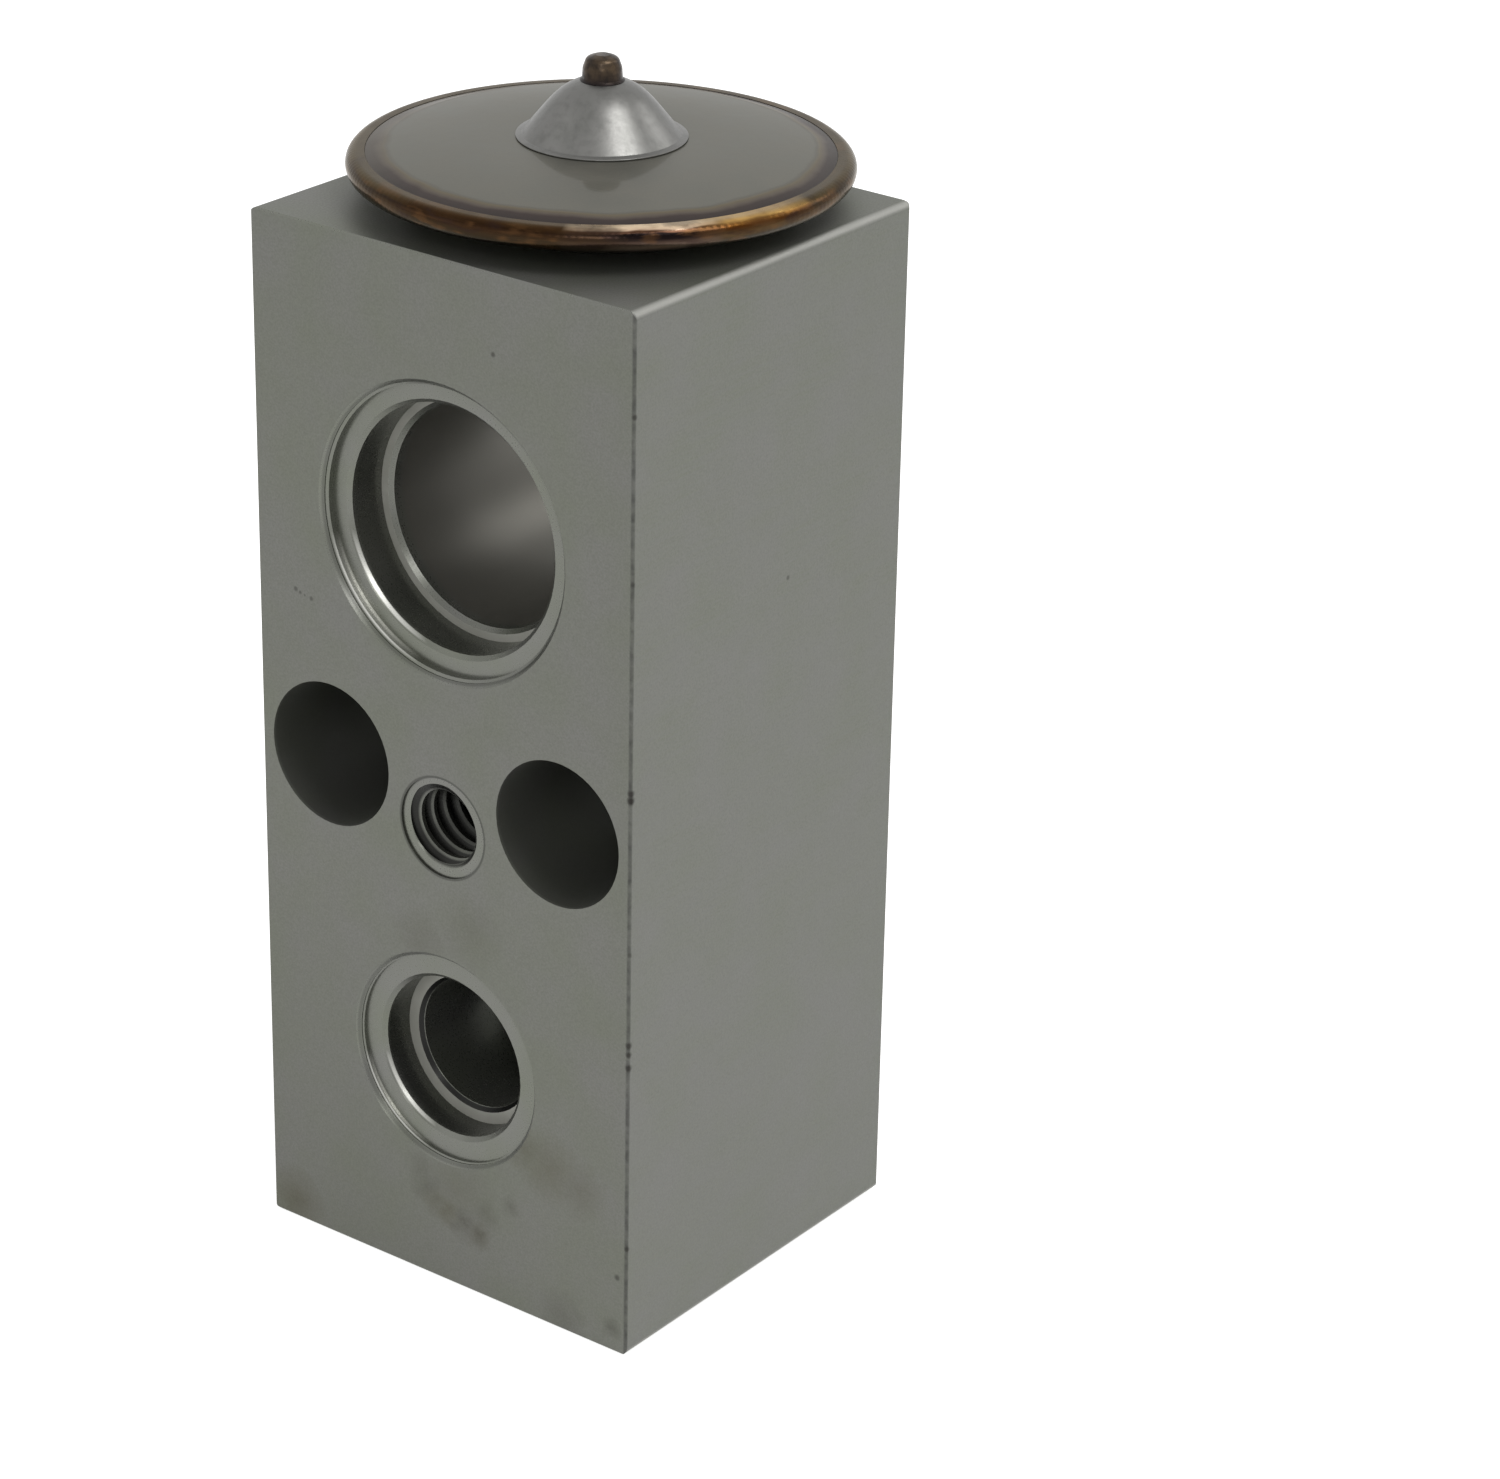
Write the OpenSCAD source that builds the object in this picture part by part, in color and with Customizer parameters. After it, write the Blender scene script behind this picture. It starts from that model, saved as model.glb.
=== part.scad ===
// Block-type thermostatic expansion valve, closed, standing on its bottom face.
// The origin is on the stem axis at the bottom face. +Z is up the stem, and -Y is
// the side where the two pipes to the compressor and from the condenser plug in.

/* [Block] */
// Width of the block
block_w = 32.5; // [32:0.5:38]
// Depth of the block, from the pipe side to the evaporator side
block_d = 29.5; // [28:0.5:34]
// Height of the block
block_h = 76; // [75:0.5:80]
// How far the stem axis lies behind the middle of the block
stem_offset = 2; // [1:0.25:2.5]
// Radius of the drawn bar's four long edges, which run from port side to port side
bar_edge_r = 0.6; // [0.4:0.1:0.8]
// Width of the chamfer on the edges of the two port sides
edge_break = 0.12; // [0.1:0.02:0.2]

/* [Suction ports] */
// Height of the suction passage
suction_z = 56.8; // [56:0.2:57.4]
// Diameter of the suction passage
suction_bore_d = 15.8; // [14:0.1:16.4]
// Diameter of the step that holds a pipe's O-ring
suction_seal_d = 17.5; // [17.2:0.1:18.2]
// Depth of that step below the face
suction_seal_depth = 4.2; // [3.6:0.1:4.8]
// Diameter of the shallow recess at the mouth
suction_recess_d = 20.4; // [20:0.1:20.8]
// Depth of the recess
suction_recess_depth = 0.95; // [0.8:0.05:1.4]
// Width of the small slope on the recess's wall
suction_slope = 0.18; // [0.1:0.02:0.26]

/* [Liquid inlet port] */
// Height of the inlet, on the pipe side
inlet_z = 17.5; // [17:0.1:17.8]
// Diameter of the inlet bore
inlet_bore_d = 9.7; // [8.5:0.1:10]
// Diameter of the inlet's O-ring step
inlet_seal_d = 12; // [11.4:0.1:12.6]
// Depth of that step below the face
inlet_seal_depth = 3.25; // [3:0.05:3.8]
// Diameter of the shallow recess at the mouth
inlet_recess_d = 15.5; // [15:0.1:16]
// Depth of the recess
inlet_recess_depth = 0.65; // [0.6:0.05:0.9]
// Width of the small slope on the recess's wall
inlet_slope = 0.1; // [0.06:0.02:0.2]

/* [Evaporator outlet port] */
// Height of the outlet, on the evaporator side
outlet_z = 27; // [26.8:0.1:27.2]
// Diameter of the outlet bore
outlet_bore_d = 12.8; // [12:0.1:13]
// Diameter of the outlet's O-ring step
outlet_seal_d = 14.8; // [14.4:0.1:15.2]
// Depth of that step below the face
outlet_seal_depth = 3.25; // [3:0.05:3.6]
// Diameter of the shallow recess at the mouth
outlet_recess_d = 17; // [16.8:0.1:17.2]
// Depth of the recess
outlet_recess_depth = 0.65; // [0.6:0.05:0.9]
// Depth of the outlet bore below the face
outlet_bore_depth = 5.6; // [5:0.1:5.8]
// Diameter of the gallery from the orifice to the outlet bore
gallery_d = 6; // [5:0.1:6.4]

/* [Fastening holes] */
// Distance between the two bolt holes
bolt_spacing = 20; // [19:0.25:20.5]
// Diameter of the bolt holes
bolt_d = 10.5; // [8:0.1:10.8]
// Height of the bolt holes
bolt_z = 38; // [37.8:0.1:38.6]
// Height of the threaded hole for the pipe plate's stud
stud_z = 35.4; // [35:0.1:36]
// Tapping diameter of that hole
stud_hole_d = 5.2; // [5:0.1:5.6]
// Diameter of the shallow flat ring round its mouth
stud_mouth_d = 7.3; // [7:0.1:7.8]
// Depth of that ring below the face
stud_mouth_depth = 0.15; // [0.1:0.01:0.25]
// Depth of that hole
stud_depth = 11; // [8:0.5:12]

/* [Stem and seat] */
// Diameter of the sensing rod
rod_d = 3.2; // [2.8:0.1:3.4]
// Diameter of the push pin
pin_d = 1.8; // [1.4:0.1:2]
// Diameter of the orifice
orifice_d = 3; // [2.6:0.1:3.2]
// Diameter of the valve ball
ball_d = 4.76; // [4.6:0.02:4.9]
// Height where the orifice starts above its conical seat
seat_z = 22; // [21.8:0.1:22.2]
// Diameter of the seat's cone at its wide end
seat_mouth_d = 6.4; // [6:0.1:6.6]
// How far the stem can push the ball off its seat
valve_lift = 0.8; // [0.5:0.1:0.8]
// Diameter of the O-ring pocket round the rod
rod_seal_d = 5.6; // [5.4:0.1:5.9]
// Depth of that pocket
rod_seal_depth = 2.4; // [2.3:0.1:2.8]
// Thickness of the star washer that holds the rod's O-ring
retainer_t = 0.6; // [0.5:0.1:0.7]

/* [Spring chamber] */
// Diameter of the spring chamber
chamber_d = 12; // [11.8:0.1:12.4]
// Diameter of the screw thread at the chamber's mouth
screw_d = 14; // [13.6:0.1:14.6]
// Pitch of that thread, and the screw's travel in one turn
screw_pitch = 1; // [0.5:0.1:1]
// Depth of the screw's face in the block
screw_recess = 1.6; // [1.2:0.1:1.8]
// Length of the screw's threaded head
screw_head_h = 3.2; // [2.8:0.1:3.4]
// Height of the screw's plain nose
screw_nose_h = 5.6; // [5.4:0.1:6]
// Width across the flats of the hex socket
socket_af = 5; // [4:0.1:6]
// Depth of the hex socket
socket_depth = 3; // [2:0.1:3.4]
// Width of the O-ring groove in the screw
groove_w = 1.7; // [1.5:0.1:1.8]
// Depth of that groove
groove_depth = 1.15; // [1:0.05:1.2]
// Depth of the pocket that holds the spring's lower end
spring_pocket = 2.4; // [1.5:0.1:2.6]
// Diameter of the spring's wire
wire_d = 1; // [0.8:0.05:1.1]
// Outer diameter of the spring
spring_d = 7.7; // [7.4:0.1:8]
// Turns of the spring
spring_turns = 4.5; // [4:0.25:5]
// Thickness of the carrier's flange
carrier_t = 1.4; // [1.2:0.1:1.6]
// Diameter of the carrier's flange
carrier_d = 9.2; // [8.8:0.1:9.6]
// Thickness of the damping ring
damper_t = 0.25; // [0.2:0.05:0.3]

/* [Power head] */
// Diameter over the welded rim
head_d = 34; // [33:0.25:36]
// Height of the rim's middle above the block
rim_h = 2.4; // [2.3:0.05:2.6]
// Height of the rim's rounded bead
bead_h = 1.64; // [1.6:0.02:1.8]
// How far the weld reaches in from the rim between the two housings
weld_root = 0.5; // [0.3:0.05:0.6]
// Thickness of the two pressed housings at the rim
flange_t = 0.7; // [0.6:0.02:0.72]
// Thickness of the diaphragm
diaphragm_t = 0.15; // [0.1:0.01:0.18]
// Height of the diaphragm's waves
wave_h = 0.2; // [0.1:0.02:0.26]
// Width of the sloping band between the cap's crease and the weld
rim_band = 1.28; // [1:0.02:1.5]
// Height of the crease above the rim's middle
plateau_h = 1.13; // [1:0.02:1.3]
// Height of its middle above the rim's middle
dome_h = 1.8; // [1.6:0.02:2]
// Thickness of the cap and the dish
shell_t = 0.85; // [0.7:0.05:0.9]
// Diameter of the charging plug at its foot
plug_d = 11.5; // [10.5:0.1:12.5]
// Diameter of the plug's flat top
plug_top_d = 4.7; // [4.3:0.1:5]
// Height of the plug
plug_h = 3.85; // [3.4:0.05:4.4]
// Diameter of the ball that seals the plug
seal_ball_d = 2.64; // [2.2:0.02:3]
// How far the dish's flat foot reaches past the gasket's pocket
dish_margin = 0.35; // [0.2:0.05:0.6]
// Diameter of the threaded neck
neck_d = 19.8; // [19:0.1:20.2]
// Length of the neck below the dish
neck_h = 7; // [6.5:0.1:7.4]
// Inner diameter of the neck
neck_bore_d = 9.2; // [8.4:0.1:9.6]
// Diameter of the neck's upper pocket, where the thrust pad moves
pad_pocket_d = 14.4; // [14:0.1:15]
// Diameter of the thrust pad
pad_d = 13.2; // [12.4:0.1:13.6]
// Thickness of the thrust pad
pad_t = 1.6; // [1.4:0.1:1.8]
// Diameter of the pad's hub
hub_d = 6.4; // [6:0.1:7.4]
// Length of the pad's hub below the pad
hub_h = 4.7; // [4:0.1:5.4]
// Diameter of the wire of the O-ring under the dish
gasket_wire_d = 1.3; // [1.1:0.05:1.4]

/* [Clearances] */
// Gap between pieces that slide on each other
slide_gap = 0.05; // [0.03:0.01:0.08]
// Gap between pieces that only lie on each other
touch_gap = 0.02; // [0.01:0.01:0.04]
// Gap between threads, measured on the radius
thread_gap = 0.1; // [0.05:0.01:0.15]
// Chamfer on the edges of the O-ring steps
port_chamfer = 0.3; // [0.2:0.05:0.35]
// Chamfer on the ports' mouths
mouth_chamfer = 0.28; // [0.2:0.02:0.32]
// Chamfer where a pipe bore starts
bore_chamfer = 0.3; // [0.2:0.05:0.35]

/* [Hidden] */
$fn = 96;

aluminium = [0.46, 0.47, 0.44];
steel = [0.55, 0.55, 0.54];
copper_tint = [0.48, 0.3, 0.16];
bronze = [0.24, 0.2, 0.15];
rubber = [0.08, 0.09, 0.08];
brass = [0.72, 0.6, 0.33];

// How far a cutter reaches past the face that it opens
over = 1;
front_y = -block_d / 2 - stem_offset;
back_y = block_d / 2 - stem_offset;

// The stem, from the seat up
seat_cone_h = (seat_mouth_d - orifice_d) / 2;
chamber_top = seat_z - seat_cone_h;
ball_z = seat_z + orifice_d / 2 - sqrt(2) * (ball_d / 2 + touch_gap);
gallery_top = outlet_z + gallery_d / 2;
rod_floor = gallery_top + 1;
rod_bottom = rod_floor + valve_lift + 0.4;
suction_floor = suction_z - suction_bore_d / 2;
suction_roof = suction_z + suction_bore_d / 2;
seal_floor = suction_floor - rod_seal_depth;

// The ball's carrier and the spring under it
carrier_apex = ball_z - sqrt(2) * (ball_d / 2 + touch_gap);
carrier_top = carrier_apex + 2.2;
carrier_seat = carrier_top - 1.9;
carrier_foot = carrier_seat - carrier_t;
carrier_neck_d = 6.4;
carrier_boss_d = spring_d - 2 * wire_d - 0.7;
carrier_boss_h = 2.4;

// The adjusting screw
screw_nose_d = chamber_d - 2 * thread_gap;
head_top = screw_recess + screw_head_h;
screw_mouth_h = head_top + screw_pitch + 0.2;
groove_z = screw_mouth_h + screw_pitch + 0.1;
screw_top = head_top + screw_nose_h;
spring_foot = screw_top - spring_pocket;
groove_floor_d = screw_nose_d - 2 * groove_depth;

// The power head
rim_z = block_h + rim_h;
bead_r = bead_h / 2;
bead_centre_r = head_d / 2 - bead_r;
flange_r = bead_centre_r - weld_root;
plateau_r = flange_r - rim_band;
flange_low = rim_z - diaphragm_t / 2 - touch_gap;
flange_high = rim_z + diaphragm_t / 2 + touch_gap;
dome_top = rim_z + dome_h;
pad_top = flange_low;
pad_low = pad_top - pad_t;
neck_step = pad_low - valve_lift - 0.2;
rod_top = pad_low - 0.4;
neck_hole_d = neck_d + 2 * thread_gap;
neck_hole_h = neck_h + 0.5;
gasket_r = neck_hole_d / 2 + gasket_wire_d / 2 + 0.25;
gasket_pocket_d = 2 * gasket_r + gasket_wire_d + 0.2;
dish_foot_r = gasket_pocket_d / 2 + dish_margin;
wave_in = pad_d / 2 + 0.9;
wave_out = plateau_r - 1.6;
waves = 3;

// A stepped port, with its mouth at z = 0 and its bore going up
module port(recess_d, slope, recess_depth, seal_d, seal_depth, bore_d, bore_depth) {
    c = port_chamfer;
    b = bore_chamfer;
    wall_depth = mouth_chamfer + 0.1;
    wall_r = recess_d / 2 + slope;
    mouth_r = wall_r + mouth_chamfer;
    rotate_extrude()
        polygon([[0, -over], [mouth_r, -over], [mouth_r, 0],
            [wall_r, mouth_chamfer], [wall_r, wall_depth],
            [recess_d / 2, wall_depth + slope * 0.75], [recess_d / 2, recess_depth],
            [seal_d / 2 + c, recess_depth], [seal_d / 2, recess_depth + c],
            [seal_d / 2, seal_depth], [bore_d / 2 + b, seal_depth],
            [bore_d / 2, seal_depth + b], [bore_d / 2, bore_depth], [0, bore_depth]]);
}

// Puts a cutter on the pipe side, pointing into the block
module on_front(z) {
    translate([0, front_y, z]) rotate([-90, 0, 0]) children();
}

// Puts a cutter on the evaporator side, pointing into the block
module on_back(z) {
    translate([0, back_y, z]) rotate([90, 0, 0]) children();
}

// A ring of round section that lies flat at height z
module o_ring(r, wire, z) {
    translate([0, 0, z]) rotate_extrude() translate([r, 0]) circle(d = wire, $fn = 32);
}

// A rectangle with chamfered corners
module broken_rectangle(w, h) {
    x = w / 2;
    y = h / 2;
    b = edge_break;
    polygon([[b - x, -y], [x - b, -y], [x, b - y], [x, y - b],
        [x - b, y], [b - x, y], [-x, y - b], [-x, b - y]]);
}

// The drawn bar's section
module rounded_rectangle(w, h) {
    r = bar_edge_r;
    square([w, h - 2 * r], center = true);
    square([w - 2 * r, h], center = true);
    for (x = [r - w / 2, w / 2 - r], y = [r - h / 2, h / 2 - r])
        translate([x, y]) circle(r = r, $fn = 48);
}

// The plain block: a piece of drawn bar whose two cut faces have broken edges
module block_blank() {
    translate([0, -stem_offset, block_h / 2])
        intersection() {
            linear_extrude(block_h, center = true) broken_rectangle(block_w, block_d);
            rotate([90, 0, 0])
                linear_extrude(block_d, center = true) rounded_rectangle(block_w, block_h);
            rotate([90, 0, 90])
                linear_extrude(block_w, center = true) broken_rectangle(block_d, block_h);
        }
}

module suction_port() {
    port(suction_recess_d, suction_slope, suction_recess_depth, suction_seal_d,
        suction_seal_depth, suction_bore_d, block_d / 2 + over);
}

module stud_hole() {
    tip = stud_hole_d / 2 * tan(30);
    rotate_extrude()
        polygon([[0, -over], [stud_mouth_d / 2, -over], [stud_mouth_d / 2, stud_mouth_depth],
            [stud_hole_d / 2, stud_mouth_depth], [stud_hole_d / 2, stud_depth - tip],
            [0, stud_depth]]);
}

// Everything bored along the stem axis, from the bottom and from the top
module stem_bores() {
    translate([0, 0, -over]) cylinder(d = screw_d, h = over + screw_mouth_h);
    cylinder(d = chamber_d, h = chamber_top);
    translate([0, 0, chamber_top])
        cylinder(d1 = seat_mouth_d, d2 = orifice_d, h = seat_cone_h);
    translate([0, 0, chamber_top]) cylinder(d = orifice_d, h = outlet_z - chamber_top);
    translate([0, 0, outlet_z]) cylinder(d = pin_d + 2 * slide_gap, h = rod_floor + over - outlet_z);
    translate([0, 0, rod_floor])
        cylinder(d = rod_d + 2 * slide_gap, h = suction_z - rod_floor);
    translate([0, 0, seal_floor]) cylinder(d = rod_seal_d, h = suction_z - seal_floor);
    translate([0, 0, suction_z]) cylinder(d = neck_bore_d, h = block_h - suction_z);
    translate([0, 0, block_h - neck_hole_h]) cylinder(d = neck_hole_d, h = neck_hole_h + over);
    translate([0, 0, block_h - gasket_wire_d])
        cylinder(d = gasket_pocket_d, h = gasket_wire_d + over);
}

module valve_block() {
    color(aluminium) difference() {
        block_blank();
        on_front(suction_z) suction_port();
        on_back(suction_z) suction_port();
        on_front(inlet_z)
            port(inlet_recess_d, inlet_slope, inlet_recess_depth, inlet_seal_d,
                inlet_seal_depth, inlet_bore_d, -front_y - seat_mouth_d / 2 - 1);
        on_back(outlet_z)
            port(outlet_recess_d, inlet_slope, outlet_recess_depth, outlet_seal_d,
                outlet_seal_depth, outlet_bore_d, outlet_bore_depth);
        on_back(outlet_z) cylinder(d = gallery_d, h = back_y + orifice_d / 2 + over);
        for (side = [-1, 1])
            translate([side * bolt_spacing / 2, 0, 0])
                on_front(bolt_z) translate([0, 0, -over]) cylinder(d = bolt_d, h = block_d + 2 * over);
        on_front(stud_z) stud_hole();
        stem_bores();
    }
}

// The threaded neck that screws into the block, with the step that stops the pad
module neck_collar() {
    color(brass) translate([0, 0, block_h - neck_h])
        rotate_extrude()
            polygon([[neck_bore_d / 2, 0], [neck_d / 2 - 0.6, 0], [neck_d / 2, 0.6],
                [neck_d / 2, neck_h - touch_gap], [pad_pocket_d / 2, neck_h - touch_gap],
                [pad_pocket_d / 2, neck_step - block_h + neck_h],
                [neck_bore_d / 2, neck_step - block_h + neck_h]]);
}

// The dish: a flat foot on the block, a sloping wall and the rim's lower flange
module lower_housing() {
    foot = block_h + touch_gap;
    wall_low = dish_foot_r;
    wall_high = plateau_r;
    color(steel) rotate_extrude()
        polygon([[pad_pocket_d / 2, foot], [wall_low, foot],
            [wall_high, flange_low - flange_t], [flange_r, flange_low - flange_t],
            [flange_r, flange_low], [wall_high - 0.4, flange_low],
            [wall_low - 0.4, foot + shell_t], [pad_pocket_d / 2, foot + shell_t]]);
}

// Height of the cap's outer face at radius r inside the raised part
function dome_z(r) = dome_top - (dome_h - plateau_h) * pow(max(0, r - plug_d / 2) / (plateau_r - plug_d / 2), 2);

// The cap: a shallow dome with the charging hole, a crease, and a cone down to the weld
module upper_housing() {
    steps = 8;
    first = plug_d / 2;
    span = plateau_r - first;
    hole_r = 1.2;
    outside = [for (i = [0:steps]) let (r = first + span * i / steps) [r, dome_z(r)]];
    inside = [for (i = [steps:-1:0]) let (r = first + span * i / steps) [r - 0.2, dome_z(r) - shell_t]];
    color(steel) rotate_extrude()
        polygon(concat([[hole_r, dome_top]], outside,
            [[flange_r, flange_high + flange_t], [flange_r, flange_high],
            [plateau_r - 0.2, flange_high]], inside, [[hole_r, dome_top - shell_t]]));
}

// The bead that joins both housings and the diaphragm, with the root that reaches in to them
module rim_weld() {
    root_r = flange_r + touch_gap;
    color(copper_tint) translate([0, 0, rim_z]) rotate_extrude() difference() {
        union() {
            translate([bead_centre_r, 0]) circle(r = bead_r, $fn = 48);
            translate([root_r, -bead_r]) square([bead_centre_r - root_r, bead_h]);
        }
        translate([0, -bead_h]) square([root_r, 2 * bead_h]);
    }
}

// Height of the diaphragm's middle plane at radius r
function wave_z(r) = r <= wave_in || r >= wave_out ? 0
    : wave_h * pow(sin(180 * waves * (r - wave_in) / (wave_out - wave_in)), 2);

module diaphragm() {
    steps = 36;
    rs = [for (i = [0:steps]) wave_in + (wave_out - wave_in) * i / steps];
    top = [for (r = rs) [r, rim_z + wave_z(r) + diaphragm_t / 2]];
    low = [for (i = [steps:-1:0]) [rs[i], rim_z + wave_z(rs[i]) - diaphragm_t / 2]];
    color(steel) rotate_extrude()
        polygon(concat([[0, rim_z - diaphragm_t / 2], [0, rim_z + diaphragm_t / 2]], top,
            [[flange_r, rim_z + diaphragm_t / 2], [flange_r, rim_z - diaphragm_t / 2]], low));
}

// The conical plug on the cap, with a thin lip at its foot and a bore for the charge
module charge_plug() {
    lip = 0.25;
    color(steel) translate([0, 0, dome_top + touch_gap])
        difference() {
            rotate_extrude()
                polygon([[0, 0], [plug_d / 2, 0], [plug_d / 2, lip], [plug_d / 2 - 0.35, lip + 0.15],
                    [plug_top_d / 2 + 0.3, plug_h - 0.5], [plug_top_d / 2 + 0.1, plug_h - 0.22],
                    [plug_top_d / 2 - 0.15, plug_h - 0.06], [plug_top_d / 2 - 0.4, plug_h], [0, plug_h]]);
            translate([0, 0, -over]) cylinder(d = 1.2, h = plug_h + 2 * over, $fn = 48);
            translate([0, 0, plug_h + seal_ball_d * 0.15]) sphere(d = seal_ball_d + 2 * touch_gap);
        }
}

module seal_ball() {
    color(bronze) translate([0, 0, dome_top + touch_gap + plug_h + seal_ball_d * 0.15])
        sphere(d = seal_ball_d);
}

module head_gasket() {
    color(rubber) o_ring(gasket_r, gasket_wire_d - touch_gap, block_h - gasket_wire_d / 2 + touch_gap / 2);
}

// The pad under the diaphragm, with a hub that holds the rod's upper end
module thrust_pad() {
    color(brass) difference() {
        union() {
            translate([0, 0, pad_low]) cylinder(d = pad_d, h = pad_t);
            translate([0, 0, pad_low - hub_h]) cylinder(d = hub_d, h = hub_h + touch_gap);
        }
        translate([0, 0, pad_low - hub_h - over])
            cylinder(d = rod_d + 2 * touch_gap, h = rod_top + touch_gap - pad_low + hub_h + over);
    }
}

module sensing_rod() {
    c = 0.3;
    color(steel) rotate_extrude()
        polygon([[0, rod_bottom], [rod_d / 2 - c, rod_bottom], [rod_d / 2, rod_bottom + c],
            [rod_d / 2, rod_top - c], [rod_d / 2 - c, rod_top], [0, rod_top]]);
}

// Section of the O-ring between the rod and its pocket
rod_ring_wire = (rod_seal_d - rod_d) / 2 - 2 * slide_gap;
retainer_z = seal_floor + rod_ring_wire + 2 * slide_gap;

module rod_seal() {
    color(rubber) o_ring((rod_d + rod_seal_d) / 4, rod_ring_wire, seal_floor + slide_gap + rod_ring_wire / 2);
}

// The star washer over the rod's O-ring, pressed into the pocket
module seal_retainer() {
    notches = 6;
    notch_w = 0.7;
    hole_d = rod_d + 0.4;
    color(steel) translate([0, 0, retainer_z]) difference() {
        cylinder(d = rod_seal_d - 2 * touch_gap, h = retainer_t);
        translate([0, 0, -over]) cylinder(d = hole_d, h = retainer_t + 2 * over);
        for (i = [0:notches - 1])
            rotate(i * 360 / notches)
                translate([0, -notch_w / 2, -over])
                    cube([hole_d / 2 + 0.7, notch_w, retainer_t + 2 * over]);
    }
}

module push_pin() {
    color(steel) translate([0, 0, ball_z + ball_d / 2 + touch_gap])
        cylinder(d = pin_d, h = rod_bottom - ball_z - ball_d / 2 - 2 * touch_gap, $fn = 48);
}

module valve_ball() {
    color(steel) translate([0, 0, ball_z]) sphere(d = ball_d);
}

// The cup that the ball lies in, with a flange on the spring and a boss inside it
module ball_carrier() {
    color(steel) rotate_extrude()
        polygon([[0, carrier_foot - carrier_boss_h], [carrier_boss_d / 2 - 0.4, carrier_foot - carrier_boss_h],
            [carrier_boss_d / 2, carrier_foot - carrier_boss_h + 0.4], [carrier_boss_d / 2, carrier_foot],
            [carrier_d / 2, carrier_foot], [carrier_d / 2, carrier_seat],
            [carrier_neck_d / 2, carrier_seat], [carrier_neck_d / 2, carrier_top],
            [carrier_top - carrier_apex, carrier_top], [0, carrier_apex]]);
}

// The spring-steel ring on the carrier, whose three feet rub on the chamber's wall
module damping_ring() {
    feet = 3;
    foot_angle = 24;
    foot_h = 1.8;
    wall_r = chamber_d / 2 - slide_gap;
    color(steel) translate([0, 0, carrier_seat + touch_gap]) union() {
        difference() {
            cylinder(r = carrier_d / 2, h = damper_t);
            translate([0, 0, -over])
                cylinder(d = carrier_neck_d + 2 * slide_gap, h = damper_t + 2 * over);
        }
        for (i = [0:feet - 1])
            rotate(90 + i * 360 / feet - foot_angle / 2) rotate_extrude(angle = foot_angle)
                polygon([[carrier_d / 2 - 0.5, 0], [wall_r - damper_t, 0],
                    [wall_r - damper_t, -foot_h], [wall_r, -foot_h], [wall_r, damper_t],
                    [carrier_d / 2 - 0.5, damper_t]]);
    }
}

// Height of the wire's middle after t turns, closer together in the first and last turn
function coil_z(t, height) =
    let (end = wire_d * 1.08, middle = (height - 2 * end) / (spring_turns - 2))
    t < 1 ? end * t
    : t > spring_turns - 1 ? height - end * (spring_turns - t)
    : end + middle * (t - 1);

module superheat_spring() {
    sides = 10;
    per_turn = 24;
    rings = ceil(spring_turns * per_turn);
    r = (spring_d - wire_d) / 2;
    w = wire_d / 2;
    foot = spring_foot + touch_gap + w;
    height = carrier_foot - touch_gap - w - foot;
    points = [for (i = [0:rings], j = [0:sides - 1])
        let (t = spring_turns * i / rings, a = 360 * t, b = 360 * j / sides, q = r + w * cos(b))
        [q * cos(a), q * sin(a), foot + coil_z(t, height) + w * sin(b)]];
    walls = [for (i = [0:rings - 1], j = [0:sides - 1])
        let (k = (j + 1) % sides)
        [i * sides + j, i * sides + k, (i + 1) * sides + k, (i + 1) * sides + j]];
    color(steel) polyhedron(points, concat(walls,
        [[for (j = [sides - 1:-1:0]) j], [for (j = [0:sides - 1]) rings * sides + j]]));
}

// The hollow screw that sets the spring, with a hex socket below and an O-ring groove
module adjusting_screw() {
    c = 0.5;
    head_r = screw_d / 2 - thread_gap;
    nose_r = screw_nose_d / 2;
    color(brass) difference() {
        rotate_extrude()
            polygon([[0, screw_recess], [head_r - c, screw_recess], [head_r, screw_recess + c],
                [head_r, head_top], [nose_r, head_top], [nose_r, groove_z],
                [groove_floor_d / 2, groove_z], [groove_floor_d / 2, groove_z + groove_w],
                [nose_r, groove_z + groove_w], [nose_r, screw_top],
                [spring_d / 2 + 0.2, screw_top], [spring_d / 2 + 0.2, spring_foot], [0, spring_foot]]);
        translate([0, 0, screw_recess - over])
            cylinder(d = socket_af / cos(30), h = socket_depth + over, $fn = 6);
    }
}

module screw_seal() {
    wire = (chamber_d - groove_floor_d) / 2 - 2 * slide_gap;
    color(rubber) o_ring((chamber_d + groove_floor_d) / 4, wire, groove_z + groove_w / 2);
}

valve_block();
neck_collar();
lower_housing();
upper_housing();
rim_weld();
diaphragm();
charge_plug();
seal_ball();
head_gasket();
thrust_pad();
sensing_rod();
rod_seal();
seal_retainer();
push_pin();
valve_ball();
ball_carrier();
damping_ring();
superheat_spring();
adjusting_screw();
screw_seal();
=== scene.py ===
import math

import bmesh
import bpy
from mathutils import Matrix, Vector


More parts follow.
